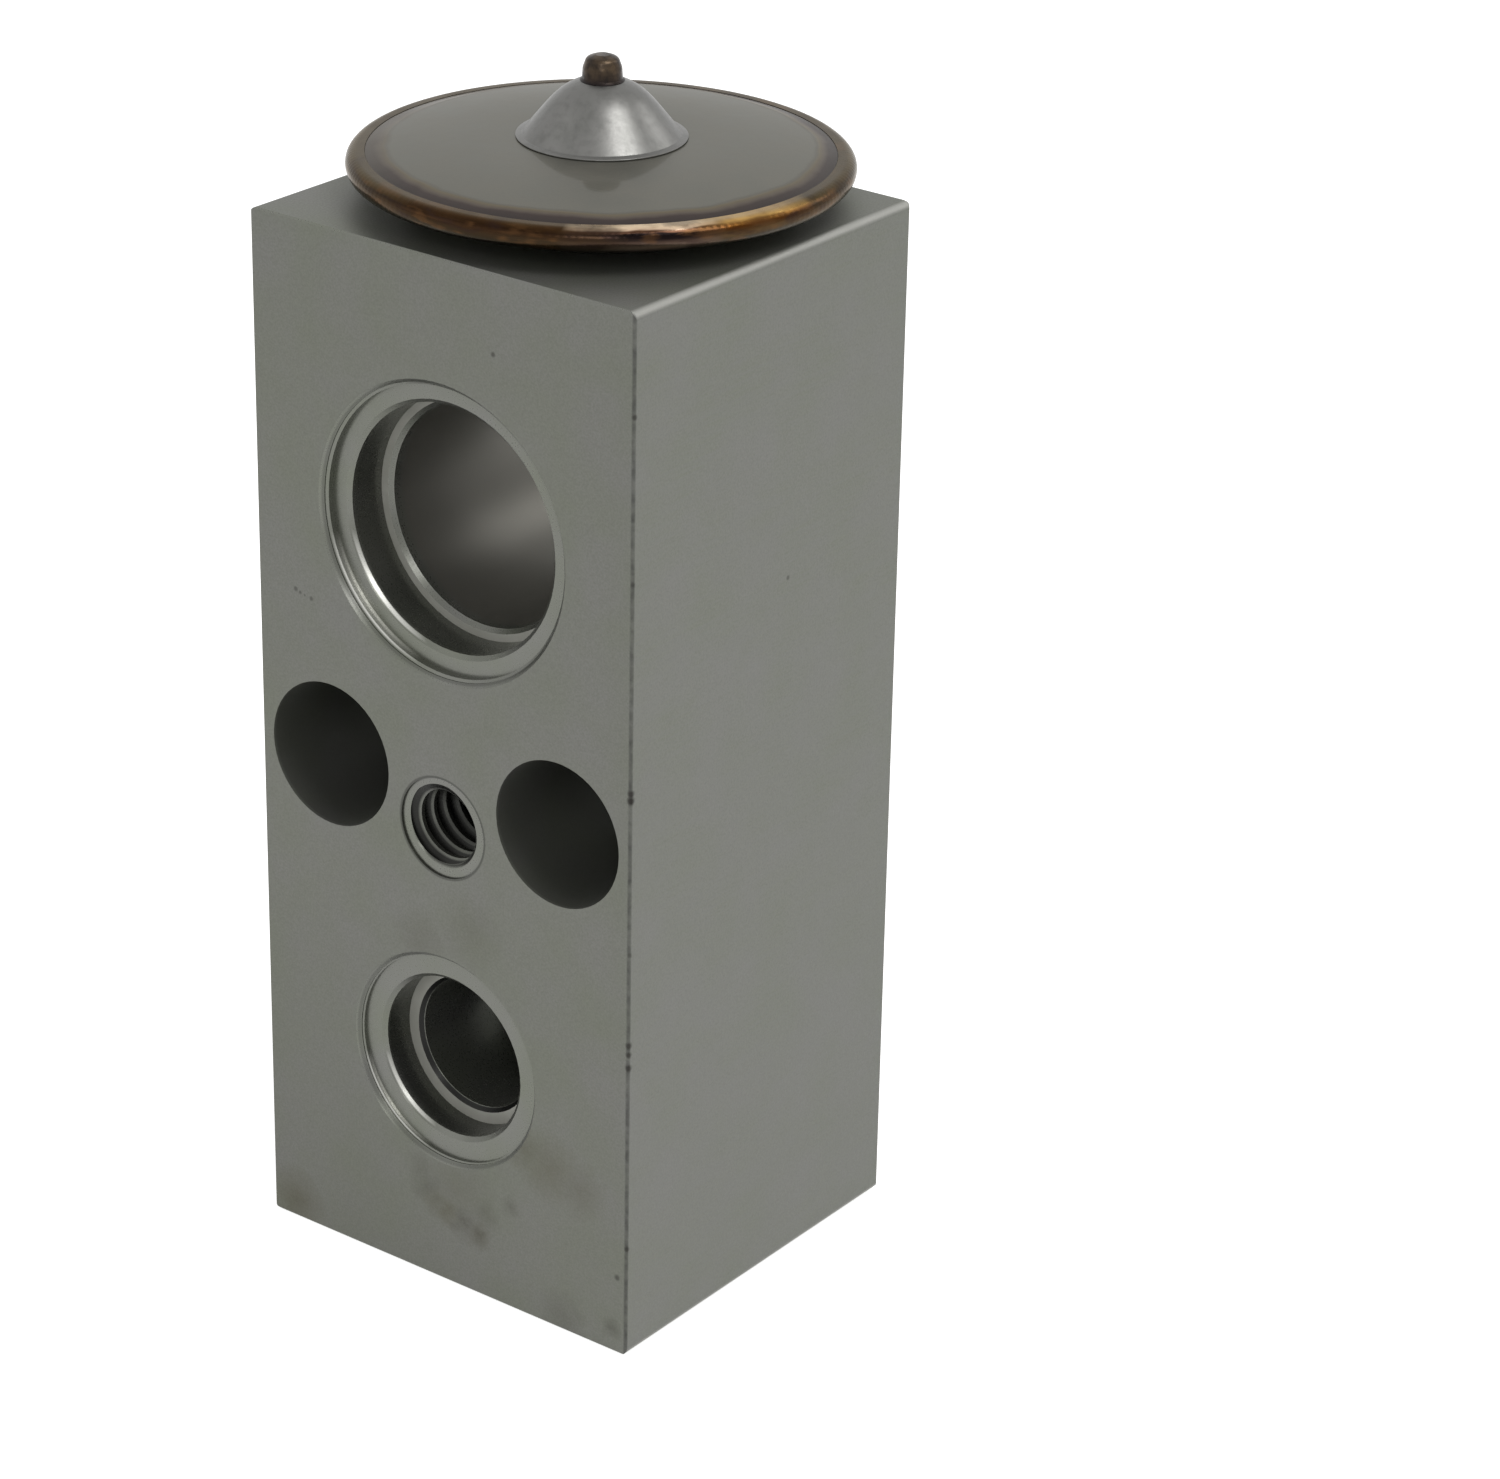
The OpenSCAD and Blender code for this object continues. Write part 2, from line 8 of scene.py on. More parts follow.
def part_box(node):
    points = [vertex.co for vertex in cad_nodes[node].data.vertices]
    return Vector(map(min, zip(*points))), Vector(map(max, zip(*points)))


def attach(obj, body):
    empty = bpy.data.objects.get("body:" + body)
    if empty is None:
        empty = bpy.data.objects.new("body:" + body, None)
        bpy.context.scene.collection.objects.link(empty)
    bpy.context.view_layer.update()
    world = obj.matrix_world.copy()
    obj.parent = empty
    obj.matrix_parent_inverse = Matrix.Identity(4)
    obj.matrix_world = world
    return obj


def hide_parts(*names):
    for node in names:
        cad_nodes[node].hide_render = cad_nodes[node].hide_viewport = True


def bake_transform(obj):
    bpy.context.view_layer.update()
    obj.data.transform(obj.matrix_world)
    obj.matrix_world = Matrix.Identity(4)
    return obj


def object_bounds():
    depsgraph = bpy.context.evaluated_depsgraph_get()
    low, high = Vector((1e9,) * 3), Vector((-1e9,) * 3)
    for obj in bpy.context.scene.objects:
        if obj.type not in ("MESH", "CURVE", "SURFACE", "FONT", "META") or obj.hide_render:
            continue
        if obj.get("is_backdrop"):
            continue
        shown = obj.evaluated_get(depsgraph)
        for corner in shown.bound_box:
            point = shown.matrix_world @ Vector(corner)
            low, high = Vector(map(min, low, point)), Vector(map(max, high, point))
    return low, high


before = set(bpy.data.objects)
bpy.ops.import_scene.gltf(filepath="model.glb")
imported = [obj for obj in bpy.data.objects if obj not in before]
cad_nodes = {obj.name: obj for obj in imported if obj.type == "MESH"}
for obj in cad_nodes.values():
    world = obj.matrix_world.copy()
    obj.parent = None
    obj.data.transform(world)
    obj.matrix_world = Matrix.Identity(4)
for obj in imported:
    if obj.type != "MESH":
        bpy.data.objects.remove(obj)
cad_low, cad_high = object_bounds()
scene = bpy.context.scene
scene.view_settings.view_transform = "Standard"
mm = 0.001

# The studio: a pale floor in an even white surround, three soft lamps, and a camera at the
# right of the pipe side that looks down on the valve. The camera's place, turn and lens were
# fitted to the block's corners and ports.
photo_w = 1500
photo_h = 1479
sensor_w = 36
camera_azimuth = math.radians(35.277)
camera_elevation = math.radians(24.060)
camera_roll = math.radians(1.792)
camera_target = Vector((23.980, -2.000, 47.325)) * mm
camera_distance = 309.94 * mm
focal_px = 4681.5
optical_centre_px = (862.4, 691.4)


def toward(azimuth, elevation):
    """The direction from the valve to something at that azimuth and elevation."""
    flat = math.cos(elevation)
    return Vector((math.sin(azimuth) * flat, -math.cos(azimuth) * flat, math.sin(elevation)))


def turned_to(azimuth, elevation, roll=0.0):
    """The turn of a camera or lamp that stands there and looks back at the valve."""
    tilt = Matrix.Rotation(math.pi / 2 - elevation, 4, "X")
    return Matrix.Rotation(azimuth, 4, "Z") @ tilt @ Matrix.Rotation(roll, 4, "Z")


camera = bpy.data.objects.new("camera", bpy.data.cameras.new("camera"))
scene.collection.objects.link(camera)
scene.camera = camera
camera.data.sensor_width = sensor_w
camera.data.lens = sensor_w * focal_px / photo_w
camera.data.shift_x = (photo_w / 2 - optical_centre_px[0]) / photo_w
camera.data.shift_y = (optical_centre_px[1] - photo_h / 2) / photo_w
camera.data.clip_start = 0.01
camera.data.clip_end = 20
camera_place = camera_target + camera_distance * toward(camera_azimuth, camera_elevation)
camera.matrix_world = Matrix.Translation(camera_place) @ turned_to(
    camera_azimuth, camera_elevation, camera_roll)


def add_node(tree, kind, inputs=None, **settings):
    """Adds a node. An input that is another node's socket is linked, and any other is a value."""
    made = tree.nodes.new(kind)
    for name, value in settings.items():
        setattr(made, name, value)
    for name, value in (inputs or {}).items():
        if isinstance(value, bpy.types.NodeSocket):
            tree.links.new(value, made.inputs[name])
        else:
            made.inputs[name].default_value = value
    return made


def calc(tree, operation, *values, clamp=False):
    """One step of arithmetic in a node tree."""
    inputs = dict(enumerate(values))
    return add_node(tree, "ShaderNodeMath", inputs, operation=operation, use_clamp=clamp).outputs[0]


def seen_directly_or_mirrored(tree):
    """1 for a ray from the camera, or one that metal or glass sends on, and 0 for stray light."""
    ray = add_node(tree, "ShaderNodeLightPath").outputs
    mirrored = calc(tree, "MAXIMUM", ray["Is Glossy Ray"], ray["Is Transmission Ray"])
    return calc(tree, "MAXIMUM", ray["Is Camera Ray"], mirrored)


ambient = 0.55
world = bpy.data.worlds.new("white_surround")
scene.world = world
world.use_nodes = True
world.node_tree.nodes.clear()
seen = seen_directly_or_mirrored(world.node_tree)
level = add_node(world.node_tree, "ShaderNodeMapRange", {
    "Value": seen, "To Min": ambient, "To Max": 1.0})
surround = add_node(
    world.node_tree, "ShaderNodeBackground", {"Color": (1, 1, 1, 1), "Strength": level.outputs[0]})
world_out = add_node(world.node_tree, "ShaderNodeOutputWorld")
world.node_tree.links.new(surround.outputs[0], world_out.inputs[0])

# azimuth, elevation, distance and size in metres, and power in watts
lamps = {
    "key": (math.radians(89), math.radians(59), 0.5, 0.23, 0.96),
    "front": (math.radians(35), math.radians(36), 0.5, 0.12, 0.30),
    "fill": (math.radians(-40), math.radians(30), 0.6, 0.40, 0.20),
    "back": (math.radians(150), math.radians(32), 0.5, 0.20, 0.25),
}
lamp_target = Vector((0, 0, 45)) * mm
for name, (azimuth, elevation, distance, size, power) in lamps.items():
    light = bpy.data.lights.new(name, "AREA")
    light.size = size
    light.energy = power
    lamp = bpy.data.objects.new(name, light)
    scene.collection.objects.link(lamp)
    lamp.matrix_world = Matrix.Translation(
        lamp_target + distance * toward(azimuth, elevation)) @ turned_to(azimuth, elevation)

floor_half = 3.0
floor_z = -0.02 * mm
floor_tone = 0.8
floor_lift = 0.72
floor_mesh = bpy.data.meshes.new("floor")
floor_mesh.from_pydata(
    [(x * floor_half, y * floor_half, floor_z) for x, y in ((-1, -1), (1, -1), (1, 1), (-1, 1))],
    [], [(0, 1, 2, 3)])
floor = bpy.data.objects.new("floor", floor_mesh)
scene.collection.objects.link(floor)
floor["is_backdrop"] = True
pale = bpy.data.materials.new("pale_floor")
pale.use_nodes = True
tree = pale.node_tree
tree.nodes.clear()
seen = seen_directly_or_mirrored(tree)
matt = add_node(tree, "ShaderNodeBsdfDiffuse", {"Color": (floor_tone, floor_tone, floor_tone, 1)})
glow = add_node(tree, "ShaderNodeEmission", {"Strength": calc(tree, "MULTIPLY", seen, floor_lift)})
lit = add_node(tree, "ShaderNodeAddShader", {0: matt.outputs[0], 1: glow.outputs[0]})
below = add_node(tree, "ShaderNodeNewGeometry").outputs["Backfacing"]
clear = add_node(tree, "ShaderNodeBsdfTransparent")
both = add_node(tree, "ShaderNodeMixShader", {0: below, 1: lit.outputs[0], 2: clear.outputs[0]})
tree.links.new(both.outputs[0], add_node(tree, "ShaderNodeOutputMaterial").inputs[0])
floor.data.materials.append(pale)

# The valve block: a length of drawn aluminium bar, faced on the two port sides and bored with
# form tools. Its stud hole is tapped and its bores are bright. Painted light: the ledges in its
# ports are painted pale, its holes and ports get painted shade, the mouths of its holes get painted
# shade lines and painted highlights, and its rounded edges get a painted highlight. The pipe side
# carries a few brown stains, is darker towards the bottom, and has some nicks and a painted dark
# reflection along its sharp edge.
block_low, block_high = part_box("valve_block")
front_y = block_low.y
front_mm = front_y / mm
middle_mm = (block_low.y + block_high.y) / 2 / mm
coil_steps = 64
tap_pitch = 1.27 * mm
tap_core_r = 2.6 * mm
tap_depth = 0.56 * mm
tap_overlap = 0.12 * mm
tap_turns = 7.9
tap_start = 1.5 * mm
tap_root = 0.88
tap_crest = 0.14
sink_r = 2.92 * mm
sink_ring = 0.15 * mm
sink_depth = 0.32 * mm
stud_z = 35.4 * mm
bore_axes = ((0, 56.8), (0, 17.5), (0, 27.0), (-10, 38.0), (10, 38.0))
screw_pitch = 1.0 * mm
screw_core_r = 7.0 * mm
screw_depth = 0.5 * mm
screw_turns = 6.2
screw_start = 0.6 * mm
screw_root = 0.9
bar_edge_r = 0.6 * mm
widest_port_r = 10.8 * mm
wall_tilt = 0.05
wall_match = 0.998
ledge_tilt = 0.95
ledge_reach = 9.0 * mm
ledge_depths = (2.0 * mm, 4.5 * mm)


def merged_copy(cad_name, name):
    """A copy of a CAD node whose loose triangles are joined into whole faces."""
    mesh = bpy.data.meshes.new(name)
    shell = bmesh.new()
    shell.from_mesh(cad_nodes[cad_name].data)
    bmesh.ops.remove_doubles(shell, verts=shell.verts, dist=1e-6)
    bmesh.ops.dissolve_limit(
        shell, angle_limit=math.radians(0.3), verts=shell.verts, edges=shell.edges)
    shell.to_mesh(mesh)
    shell.free()
    if "custom_normal" in mesh.attributes:
        mesh.attributes.remove(mesh.attributes["custom_normal"])
    piece = bpy.data.objects.new(name, mesh)
    scene.collection.objects.link(piece)
    return piece


def settle(piece):
    """Turns the modifiers of a piece into plain mesh."""
    solved = piece.evaluated_get(bpy.context.evaluated_depsgraph_get())
    mesh = bpy.data.meshes.new_from_object(solved)
    piece.modifiers.clear()
    piece.data = mesh
    return piece


def crease(piece, degrees):
    """Shades a piece smooth, but keeps its edges sharp where it turns by more than that."""
    shell = bmesh.new()
    shell.from_mesh(piece.data)
    for face in shell.faces:
        face.smooth = True
    for edge in shell.edges:
        edge.smooth = edge.calc_face_angle(0.0) < math.radians(degrees)
    shell.to_mesh(piece.data)
    shell.free()


def grow(name, tree, sizes):
    """The plain mesh piece that a Geometry Nodes tree makes at those named sizes."""
    piece = bpy.data.objects.new(name, bpy.data.meshes.new(name))
    scene.collection.objects.link(piece)
    return grow_on(piece, tree, sizes)


def grow_on(piece, tree, sizes):
    """Lets a Geometry Nodes tree work on a piece at those named sizes."""
    modifier = piece.modifiers.new("nodes", "NODES")
    modifier.node_group = tree
    for item in tree.interface.items_tree:
        if item.item_type == "SOCKET" and item.name in sizes:
            modifier[item.identifier] = sizes[item.name]
    return settle(piece)


def new_tree(name, sizes, takes_mesh=False):
    """A Geometry Nodes tree with those named inputs, and its input node."""
    tree = bpy.data.node_groups.new(name, "GeometryNodeTree")
    if takes_mesh:
        tree.interface.new_socket("Geometry", in_out="INPUT", socket_type="NodeSocketGeometry")
    for key, kind in sizes.items():
        tree.interface.new_socket(key, in_out="INPUT", socket_type="NodeSocket" + kind)
    tree.interface.new_socket("Geometry", in_out="OUTPUT", socket_type="NodeSocketGeometry")
    return tree, tree.nodes.new("NodeGroupInput").outputs


def end_tree(tree, geometry):
    """Ends a tree in real geometry that carries its material."""
    real = add_node(tree, "GeometryNodeRealizeInstances", {"Geometry": geometry})
    coated = add_node(tree, "GeometryNodeSetMaterial", {"Geometry": real.outputs[0]})
    tree.links.new(tree.nodes["Group Input"].outputs["Material"], coated.inputs["Material"])
    tree.links.new(coated.outputs[0], tree.nodes.new("NodeGroupOutput").inputs[0])


def product(tree, first, *others):
    """All the values multiplied."""
    for other in others:
        first = calc(tree, "MULTIPLY", first, other)
    return first


def coil_tree(name):
    """A bar of four-cornered section that winds round the Z axis from z = 0."""
    tree, given = new_tree(name, {
        "Radius": "Float", "Pitch": "Float", "Turns": "Float", "Depth": "Float",
        "Width": "Float", "Tip": "Float", "Material": "Material"})
    rise = product(tree, given["Turns"], given["Pitch"])
    spiral = add_node(tree, "GeometryNodeCurveSpiral", {
        "Resolution": coil_steps, "Rotations": given["Turns"], "Start Radius": given["Radius"],
        "End Radius": given["Radius"], "Height": rise})
    upright = add_node(
        tree, "GeometryNodeSetCurveNormal", {"Curve": spiral.outputs[0]}, mode="Z_UP")
    section = add_node(tree, "GeometryNodeCurvePrimitiveQuadrilateral", mode="POINTS")
    half_width = product(tree, given["Width"], 0.5)
    half_tip = product(tree, given["Tip"], 0.5)
    outward = product(tree, given["Depth"], -1.0)
    corners = (
        (half_width, 0.0), (half_tip, outward),
        (product(tree, half_tip, -1.0), outward), (product(tree, half_width, -1.0), 0.0))
    for i, (across, out) in enumerate(corners):
        corner = add_node(tree, "ShaderNodeCombineXYZ", {"X": out, "Y": across})
        tree.links.new(corner.outputs[0], section.inputs[f"Point {i + 1}"])
    bar = add_node(tree, "GeometryNodeCurveToMesh", {
        "Curve": upright.outputs[0], "Profile Curve": section.outputs[0], "Fill Caps": True})
    end_tree(tree, bar.outputs[0])
    return tree


def new_finish(name, metallic=1.0):
    """A new finish: its material, tree and shader, and the place on the piece in millimetres."""
    finish = bpy.data.materials.new(name)
    finish.use_nodes = True
    tree = finish.node_tree
    shader = tree.nodes["Principled BSDF"]
    shader.inputs["Metallic"].default_value = metallic
    place = add_node(tree, "ShaderNodeTexCoord").outputs["Object"]
    in_mm = add_node(
        tree, "ShaderNodeVectorMath", {0: place, "Scale": 1 / mm}, operation="SCALE").outputs[0]
    return finish, tree, shader, in_mm


def split(tree, vector):
    """The x, y and z of a vector."""
    return tuple(add_node(tree, "ShaderNodeSeparateXYZ", {0: vector}).outputs)


def grain(tree, place, scale, detail=3.0, stretch=(1, 1, 1), roughness=0.5):
    """Noise about 0.5, with that many features to a millimetre, stretched along an axis."""
    moved = add_node(tree, "ShaderNodeMapping", {"Vector": place, "Scale": stretch})
    noise = add_node(tree, "ShaderNodeTexNoise", {
        "Vector": moved.outputs[0], "Scale": scale, "Detail": detail, "Roughness": roughness})
    return noise.outputs["Fac"]


def spread(tree, value, low, high, to_low, to_high):
    """Maps low..high to to_low..to_high, with no overshoot."""
    return add_node(tree, "ShaderNodeMapRange", {
        "Value": value, "From Min": low, "From Max": high,
        "To Min": to_low, "To Max": to_high}).outputs[0]


def ranged(tree, noise, low, high):
    """Maps the usual span of a noise to low..high."""
    return spread(tree, noise, 0.3, 0.7, low, high)


def swayed(tree, value, noise, amount):
    """A value that a noise moves up and down, by up to half that amount."""
    return calc(tree, "MULTIPLY_ADD", calc(tree, "SUBTRACT", noise, 0.5), amount, value)


def tint(tree, amount, base, other):
    """Mixes two colours by an amount."""
    mixed = add_node(tree, "ShaderNodeMix", {0: amount, 6: base, 7: other},
                     data_type="RGBA", clamp_factor=True)
    return mixed.outputs[2]


def mottled(tree, noise, colour, other):
    """Two colours in patches."""
    return tint(tree, ranged(tree, noise, 0, 1), colour, other)


def coat(tree, shader, colour, roughness, heights):
    """Gives a shader a colour, a roughness and a bump for each (height in 0..1, depth in mm)."""
    tree.links.new(colour, shader.inputs["Base Color"])
    tree.links.new(roughness, shader.inputs["Roughness"])
    below = None
    for height, depth in heights:
        bump = add_node(tree, "ShaderNodeBump", {"Height": height, "Distance": depth * mm})
        if below:
            tree.links.new(below, bump.inputs["Normal"])
        below = bump.outputs[0]
    tree.links.new(below, shader.inputs["Normal"])


# the tones of the block
bar_cool = (0.153, 0.161, 0.132, 1)
bar_warm = (0.165, 0.166, 0.153, 1)
bar_dark = (0.114, 0.117, 0.098, 1)
bore_warm = (0.154, 0.149, 0.130, 1)
drawn_pale = (0.156, 0.159, 0.148, 1)
rounded_edge_highlight = (0.27, 0.27, 0.25, 1)
glint_white = (0.62, 0.62, 0.58, 1)
# painted light: the port ledges are painted far paler than the block
ledge_painted_grey = (0.35, 0.35, 0.31, 1)
ledge_painted_pale = (0.42, 0.42, 0.38, 1)
mouth_shade_black = (0.02, 0.02, 0.018, 1)
bore_shade_black = (0.01, 0.01, 0.009, 1)
tap_shade_black = (0.008, 0.008, 0.007, 1)
lower_grey = (0.075, 0.076, 0.064, 1)
speck_black = (0.02, 0.018, 0.015, 1)
stain_black = (0.046, 0.045, 0.037, 1)
stain_brown = (0.14, 0.125, 0.062, 1)
edge_shade_black = (0.02, 0.02, 0.02, 1)
# stains on the pipe side: x, z and radius in millimetres, how dark, how brown
stains = (
    (-2.1, 8.2, 0.8, 0.22, 0.2), (-1.6, 7.0, 0.9, 0.30, 0.2), (-0.9, 6.2, 0.8, 0.28, 0.6),
    (0.2, 5.7, 0.8, 0.30, 0.8), (1.6, 5.3, 0.9, 0.40, 0.3), (3.0, 4.8, 0.7, 0.46, 0.5),
    (3.6, 6.6, 0.8, 0.26, 0.3), (1.2, 7.8, 1.9, 0.15, 0.6),
    (7.2, 13.2, 1.2, 0.28, 0.7), (9.4, 12.4, 1.6, 0.22, 0.9), (12.0, 11.6, 1.3, 0.20, 0.7),
    (6.0, 8.1, 0.5, 0.26, 0.2), (-2.1, 26.3, 1.4, 0.16, 0.4), (2.4, 28.4, 1.6, 0.14, 0.4),
    (-14.2, 1.3, 1.5, 0.34, 0.8), (10.6, 1.1, 1.2, 0.22, 0.2),
    (15.0, 1.8, 0.55, 0.40, 0.1))
# holes whose walls get painted shade: x, z and radius in millimetres, how much
dim_holes = ((-10, 38, 5.4, 0.30), (10, 38, 5.4, 0.28))
# rings of painted shade in the ports: x, z and inner radius in millimetres, how dark, from what depth
dim_rings = ((0, 56.8, 7.88, 0.15, 3.0), (0, 56.8, 8.57, 0.2, 1.4), (0, 17.5, 4.83, 1.0, 3.0),
             (0, 17.5, 5.82, 0.45, 1.0))
# painted shade: dark lines round the mouths of holes: x, z, radius and half width in millimetres, how
# dark
mouth_lines = (
    (0, 35.4, 3.68, 0.16, 0.55), (0, 56.8, 10.42, 0.14, 0.35), (0, 17.5, 7.95, 0.13, 0.30))
# painted highlights: bright arcs at the lower left of the edges of holes: x, z, radius and half
# width in millimetres, how bright
glints = ((0, 56.8, 10.18, 0.16, 0.8), (0, 56.8, 8.86, 0.13, 0.9), (0, 17.5, 7.72, 0.14, 0.7),
          (0, 17.5, 6.10, 0.12, 0.8))
# dents and specks: x, y, z and radius in millimetres, how dark
specks = (
    (16.2, -16.7, 42.8, 0.35, 0.9), (16.2, -16.7, 42.3, 0.38, 1.0), (16.2, -16.7, 24.2, 0.34, 0.8),
    (16.2, -16.7, 23.5, 0.30, 0.8), (16.2, -16.7, 22.5, 0.34, 0.8), (16.2, -16.7, 8.5, 0.26, 0.7),
    (16.2, -16.7, 69.0, 0.26, 0.7), (16.2, -16.7, 57.6, 0.22, 0.5), (16.2, -16.7, 31.0, 0.24, 0.5),
    (-12.9, -16.75, 49.5, 0.24, 0.5), (-12.5, -16.75, 49.35, 0.16, 0.5),
    (-12.1, -16.75, 49.25, 0.12, 0.4), (-11.5, -16.75, 49.15, 0.22, 0.5),
    (16.25, -0.1, 52.8, 0.22, 0.55), (15.4, -16.75, 6.0, 0.30, 0.6),
    (4.64, -16.75, 70.5, 0.24, 0.6))


def hypotenuse(tree, a, b):
    """The long side over two sides that stand square to each other."""
    return calc(tree, "SQRT", calc(tree, "ADD", product(tree, a, a), product(tree, b, b)))


def away(tree, x, z, at_x, at_z):
    """The distance from a point, seen along Y."""
    return hypotenuse(tree, calc(tree, "SUBTRACT", x, at_x), calc(tree, "SUBTRACT", z, at_z))


def near(tree, x, z, at_x, at_z, radius, softness=1.0):
    """1 inside a spot, fading to 0 at its edge."""
    outer = radius * (1 + softness)
    inner = radius * (1 - softness)
    return spread(tree, away(tree, x, z, at_x, at_z), outer, inner, 0.0, 1.0)


def behind(tree, y, start, full):
    """0 at the face of the pipe side, and 1 from a depth of full millimetres on."""
    return spread(tree, y, front_mm + start, front_mm + full, 0.0, 1.0)


def ahead(tree, y, full, end):
    """1 at the face of the pipe side, and 0 from a depth of end millimetres on."""
    return spread(tree, y, front_mm + full, front_mm + end, 1.0, 0.0)


def mark_mouths(tree, colour, x, y, z):
    """Painted shade in dark lines round the mouths of the holes, and painted highlights in bright arcs
    at the lower left of their edges.
    """
    line_depth = (0.25, 0.35)
    glint_depth = (1.3, 1.5)
    glint_arc = (0.86, 0.98)
    for hole_x, hole_z, radius, half_width, shade in mouth_lines:
        off = calc(tree, "SUBTRACT", away(tree, x, z, hole_x, hole_z), radius)
        line = spread(tree, calc(tree, "ABSOLUTE", off), half_width * 0.4, half_width, shade, 0.0)
        colour = tint(tree, product(tree, line, ahead(tree, y, *line_depth)), colour, mouth_shade_black)
    for hole_x, hole_z, radius, half_width, shine in glints:
        off = calc(tree, "SUBTRACT", away(tree, x, z, hole_x, hole_z), radius)
        line = spread(tree, calc(tree, "ABSOLUTE", off), half_width * 0.5, half_width, shine, 0.0)
        down_left = calc(tree, "SUBTRACT", hole_x + hole_z, calc(tree, "ADD", x, z))
        down_left = calc(tree, "DIVIDE", down_left, radius * math.sqrt(2))
        arc = product(tree, line, spread(tree, down_left, *glint_arc, 0.0, 1.0))
        colour = tint(tree, product(tree, arc, ahead(tree, y, *glint_depth)), colour, glint_white)
    return colour


def dim_bores(tree, colour, x, y, z):
    """Painted shade in the bolt holes, in rings in the ports and in the stud hole's thread.

    Also returns how deep a place is in the suction passage, and whether it is in a bolt hole."""
    passage_reach = (9.2, 9.7)
    passage_foot = (45, 46)
    tap_mouth = (0.16, 0.3)
    tap_end = (9.8, 10.2)
    tap_edge = (3.25, 3.35)
    in_bolt_holes = 0.0
    for hole_x, hole_z, radius, shade in dim_holes:
        inside = near(tree, x, z, hole_x, hole_z, radius, 0.01)
        dimmed = product(tree, inside, behind(tree, y, 0.1, 0.3), shade)
        colour = tint(tree, dimmed, colour, bore_shade_black)
        in_bolt_holes = calc(tree, "ADD", in_bolt_holes, inside)
    # painted shade on the chamfers and step walls inside the ports
    for hole_x, hole_z, radius, shade, from_depth in dim_rings:
        off = calc(tree, "SUBTRACT", away(tree, x, z, hole_x, hole_z), radius)
        begun = spread(tree, off, 0.02, 0.06, 0.0, shade)
        not_over = spread(tree, off, 0.30, 0.34, 1.0, 0.0)
        ring = product(tree, begun, not_over, behind(tree, y, from_depth, from_depth + 0.2))
        colour = tint(tree, ring, colour, bore_shade_black)
    off_middle = calc(tree, "ABSOLUTE", calc(tree, "SUBTRACT", y, middle_mm))
    deep = spread(tree, off_middle, *passage_reach, 1.0, 0.0)
    deep = product(tree, deep, spread(tree, z, *passage_foot, 0.0, 1.0))
    colour = tint(tree, deep, colour, bore_warm)
    # painted shade in the tapped hole: darker at the thread's roots and deeper in
    core_mm = tap_core_r / mm
    off_stud = away(tree, x, z, 0, stud_z / mm)
    root = spread(tree, off_stud, core_mm + 0.02, core_mm + 0.20, 0.0, 0.95)
    lost = spread(tree, y, front_mm + 0.8, front_mm + 4.2, 0.25, 0.85)
    in_tap = product(
        tree, spread(tree, off_stud, *tap_edge, 1.0, 0.0), behind(tree, y, *tap_mouth),
        ahead(tree, y, *tap_end), calc(tree, "MAXIMUM", root, lost))
    return tint(tree, in_tap, colour, tap_shade_black), deep, in_bolt_holes


def mark_faces(tree, colour, place, facing):
    """Brown stains on the pipe side, which is also darker towards its bottom and left, a painted dark
    reflection along its near edge, and specks. Also returns the stains.
    """
    x, y, z = split(tree, place)
    wander = grain(tree, place, 0.9, 2.0)
    stained_x = swayed(tree, x, wander, 1.6)
    stained_z = swayed(tree, z, wander, 1.3)
    dark = brown = 0.0
    for at_x, at_z, radius, strength, brownness in stains:
        spot = product(tree, near(tree, stained_x, stained_z, at_x, at_z, radius), strength)
        dark = calc(tree, "MAXIMUM", dark, spot)
        brown = calc(tree, "MAXIMUM", brown, product(tree, spot, brownness))
    dark = product(tree, dark, facing)
    # darker towards the bottom and the left of the pipe side
    lower_darkening = product(
        tree, facing, spread(tree, z, 2, 28, 0.20, 0.0), spread(tree, x, -8, 8, 1.0, 0.3))
    colour = tint(tree, lower_darkening, colour, lower_grey)
    colour = tint(tree, product(tree, brown, facing, 1.2), colour, stain_brown)
    colour = tint(tree, dark, colour, stain_black)
    # painted dark reflection along the near vertical edge, broken up by noise
    edge = product(tree, spread(tree, x, 15.95, 16.08, 0.0, 1.0), ahead(tree, y, 0.06, 0.20))
    edge_shade_noise = spread(tree, grain(tree, place, 1.3, 4.0), 0.35, 0.7, 0.30, 0.75)
    colour = tint(tree, product(tree, edge, edge_shade_noise), colour, edge_shade_black)
    for *centre, radius, strength in specks:
        off = add_node(tree, "ShaderNodeVectorMath", {0: place, 1: centre}, operation="DISTANCE")
        spot = spread(tree, off.outputs["Value"], radius * 0.4, radius, strength, 0.0)
        colour = tint(tree, spot, colour, speck_black)
    return colour, dark


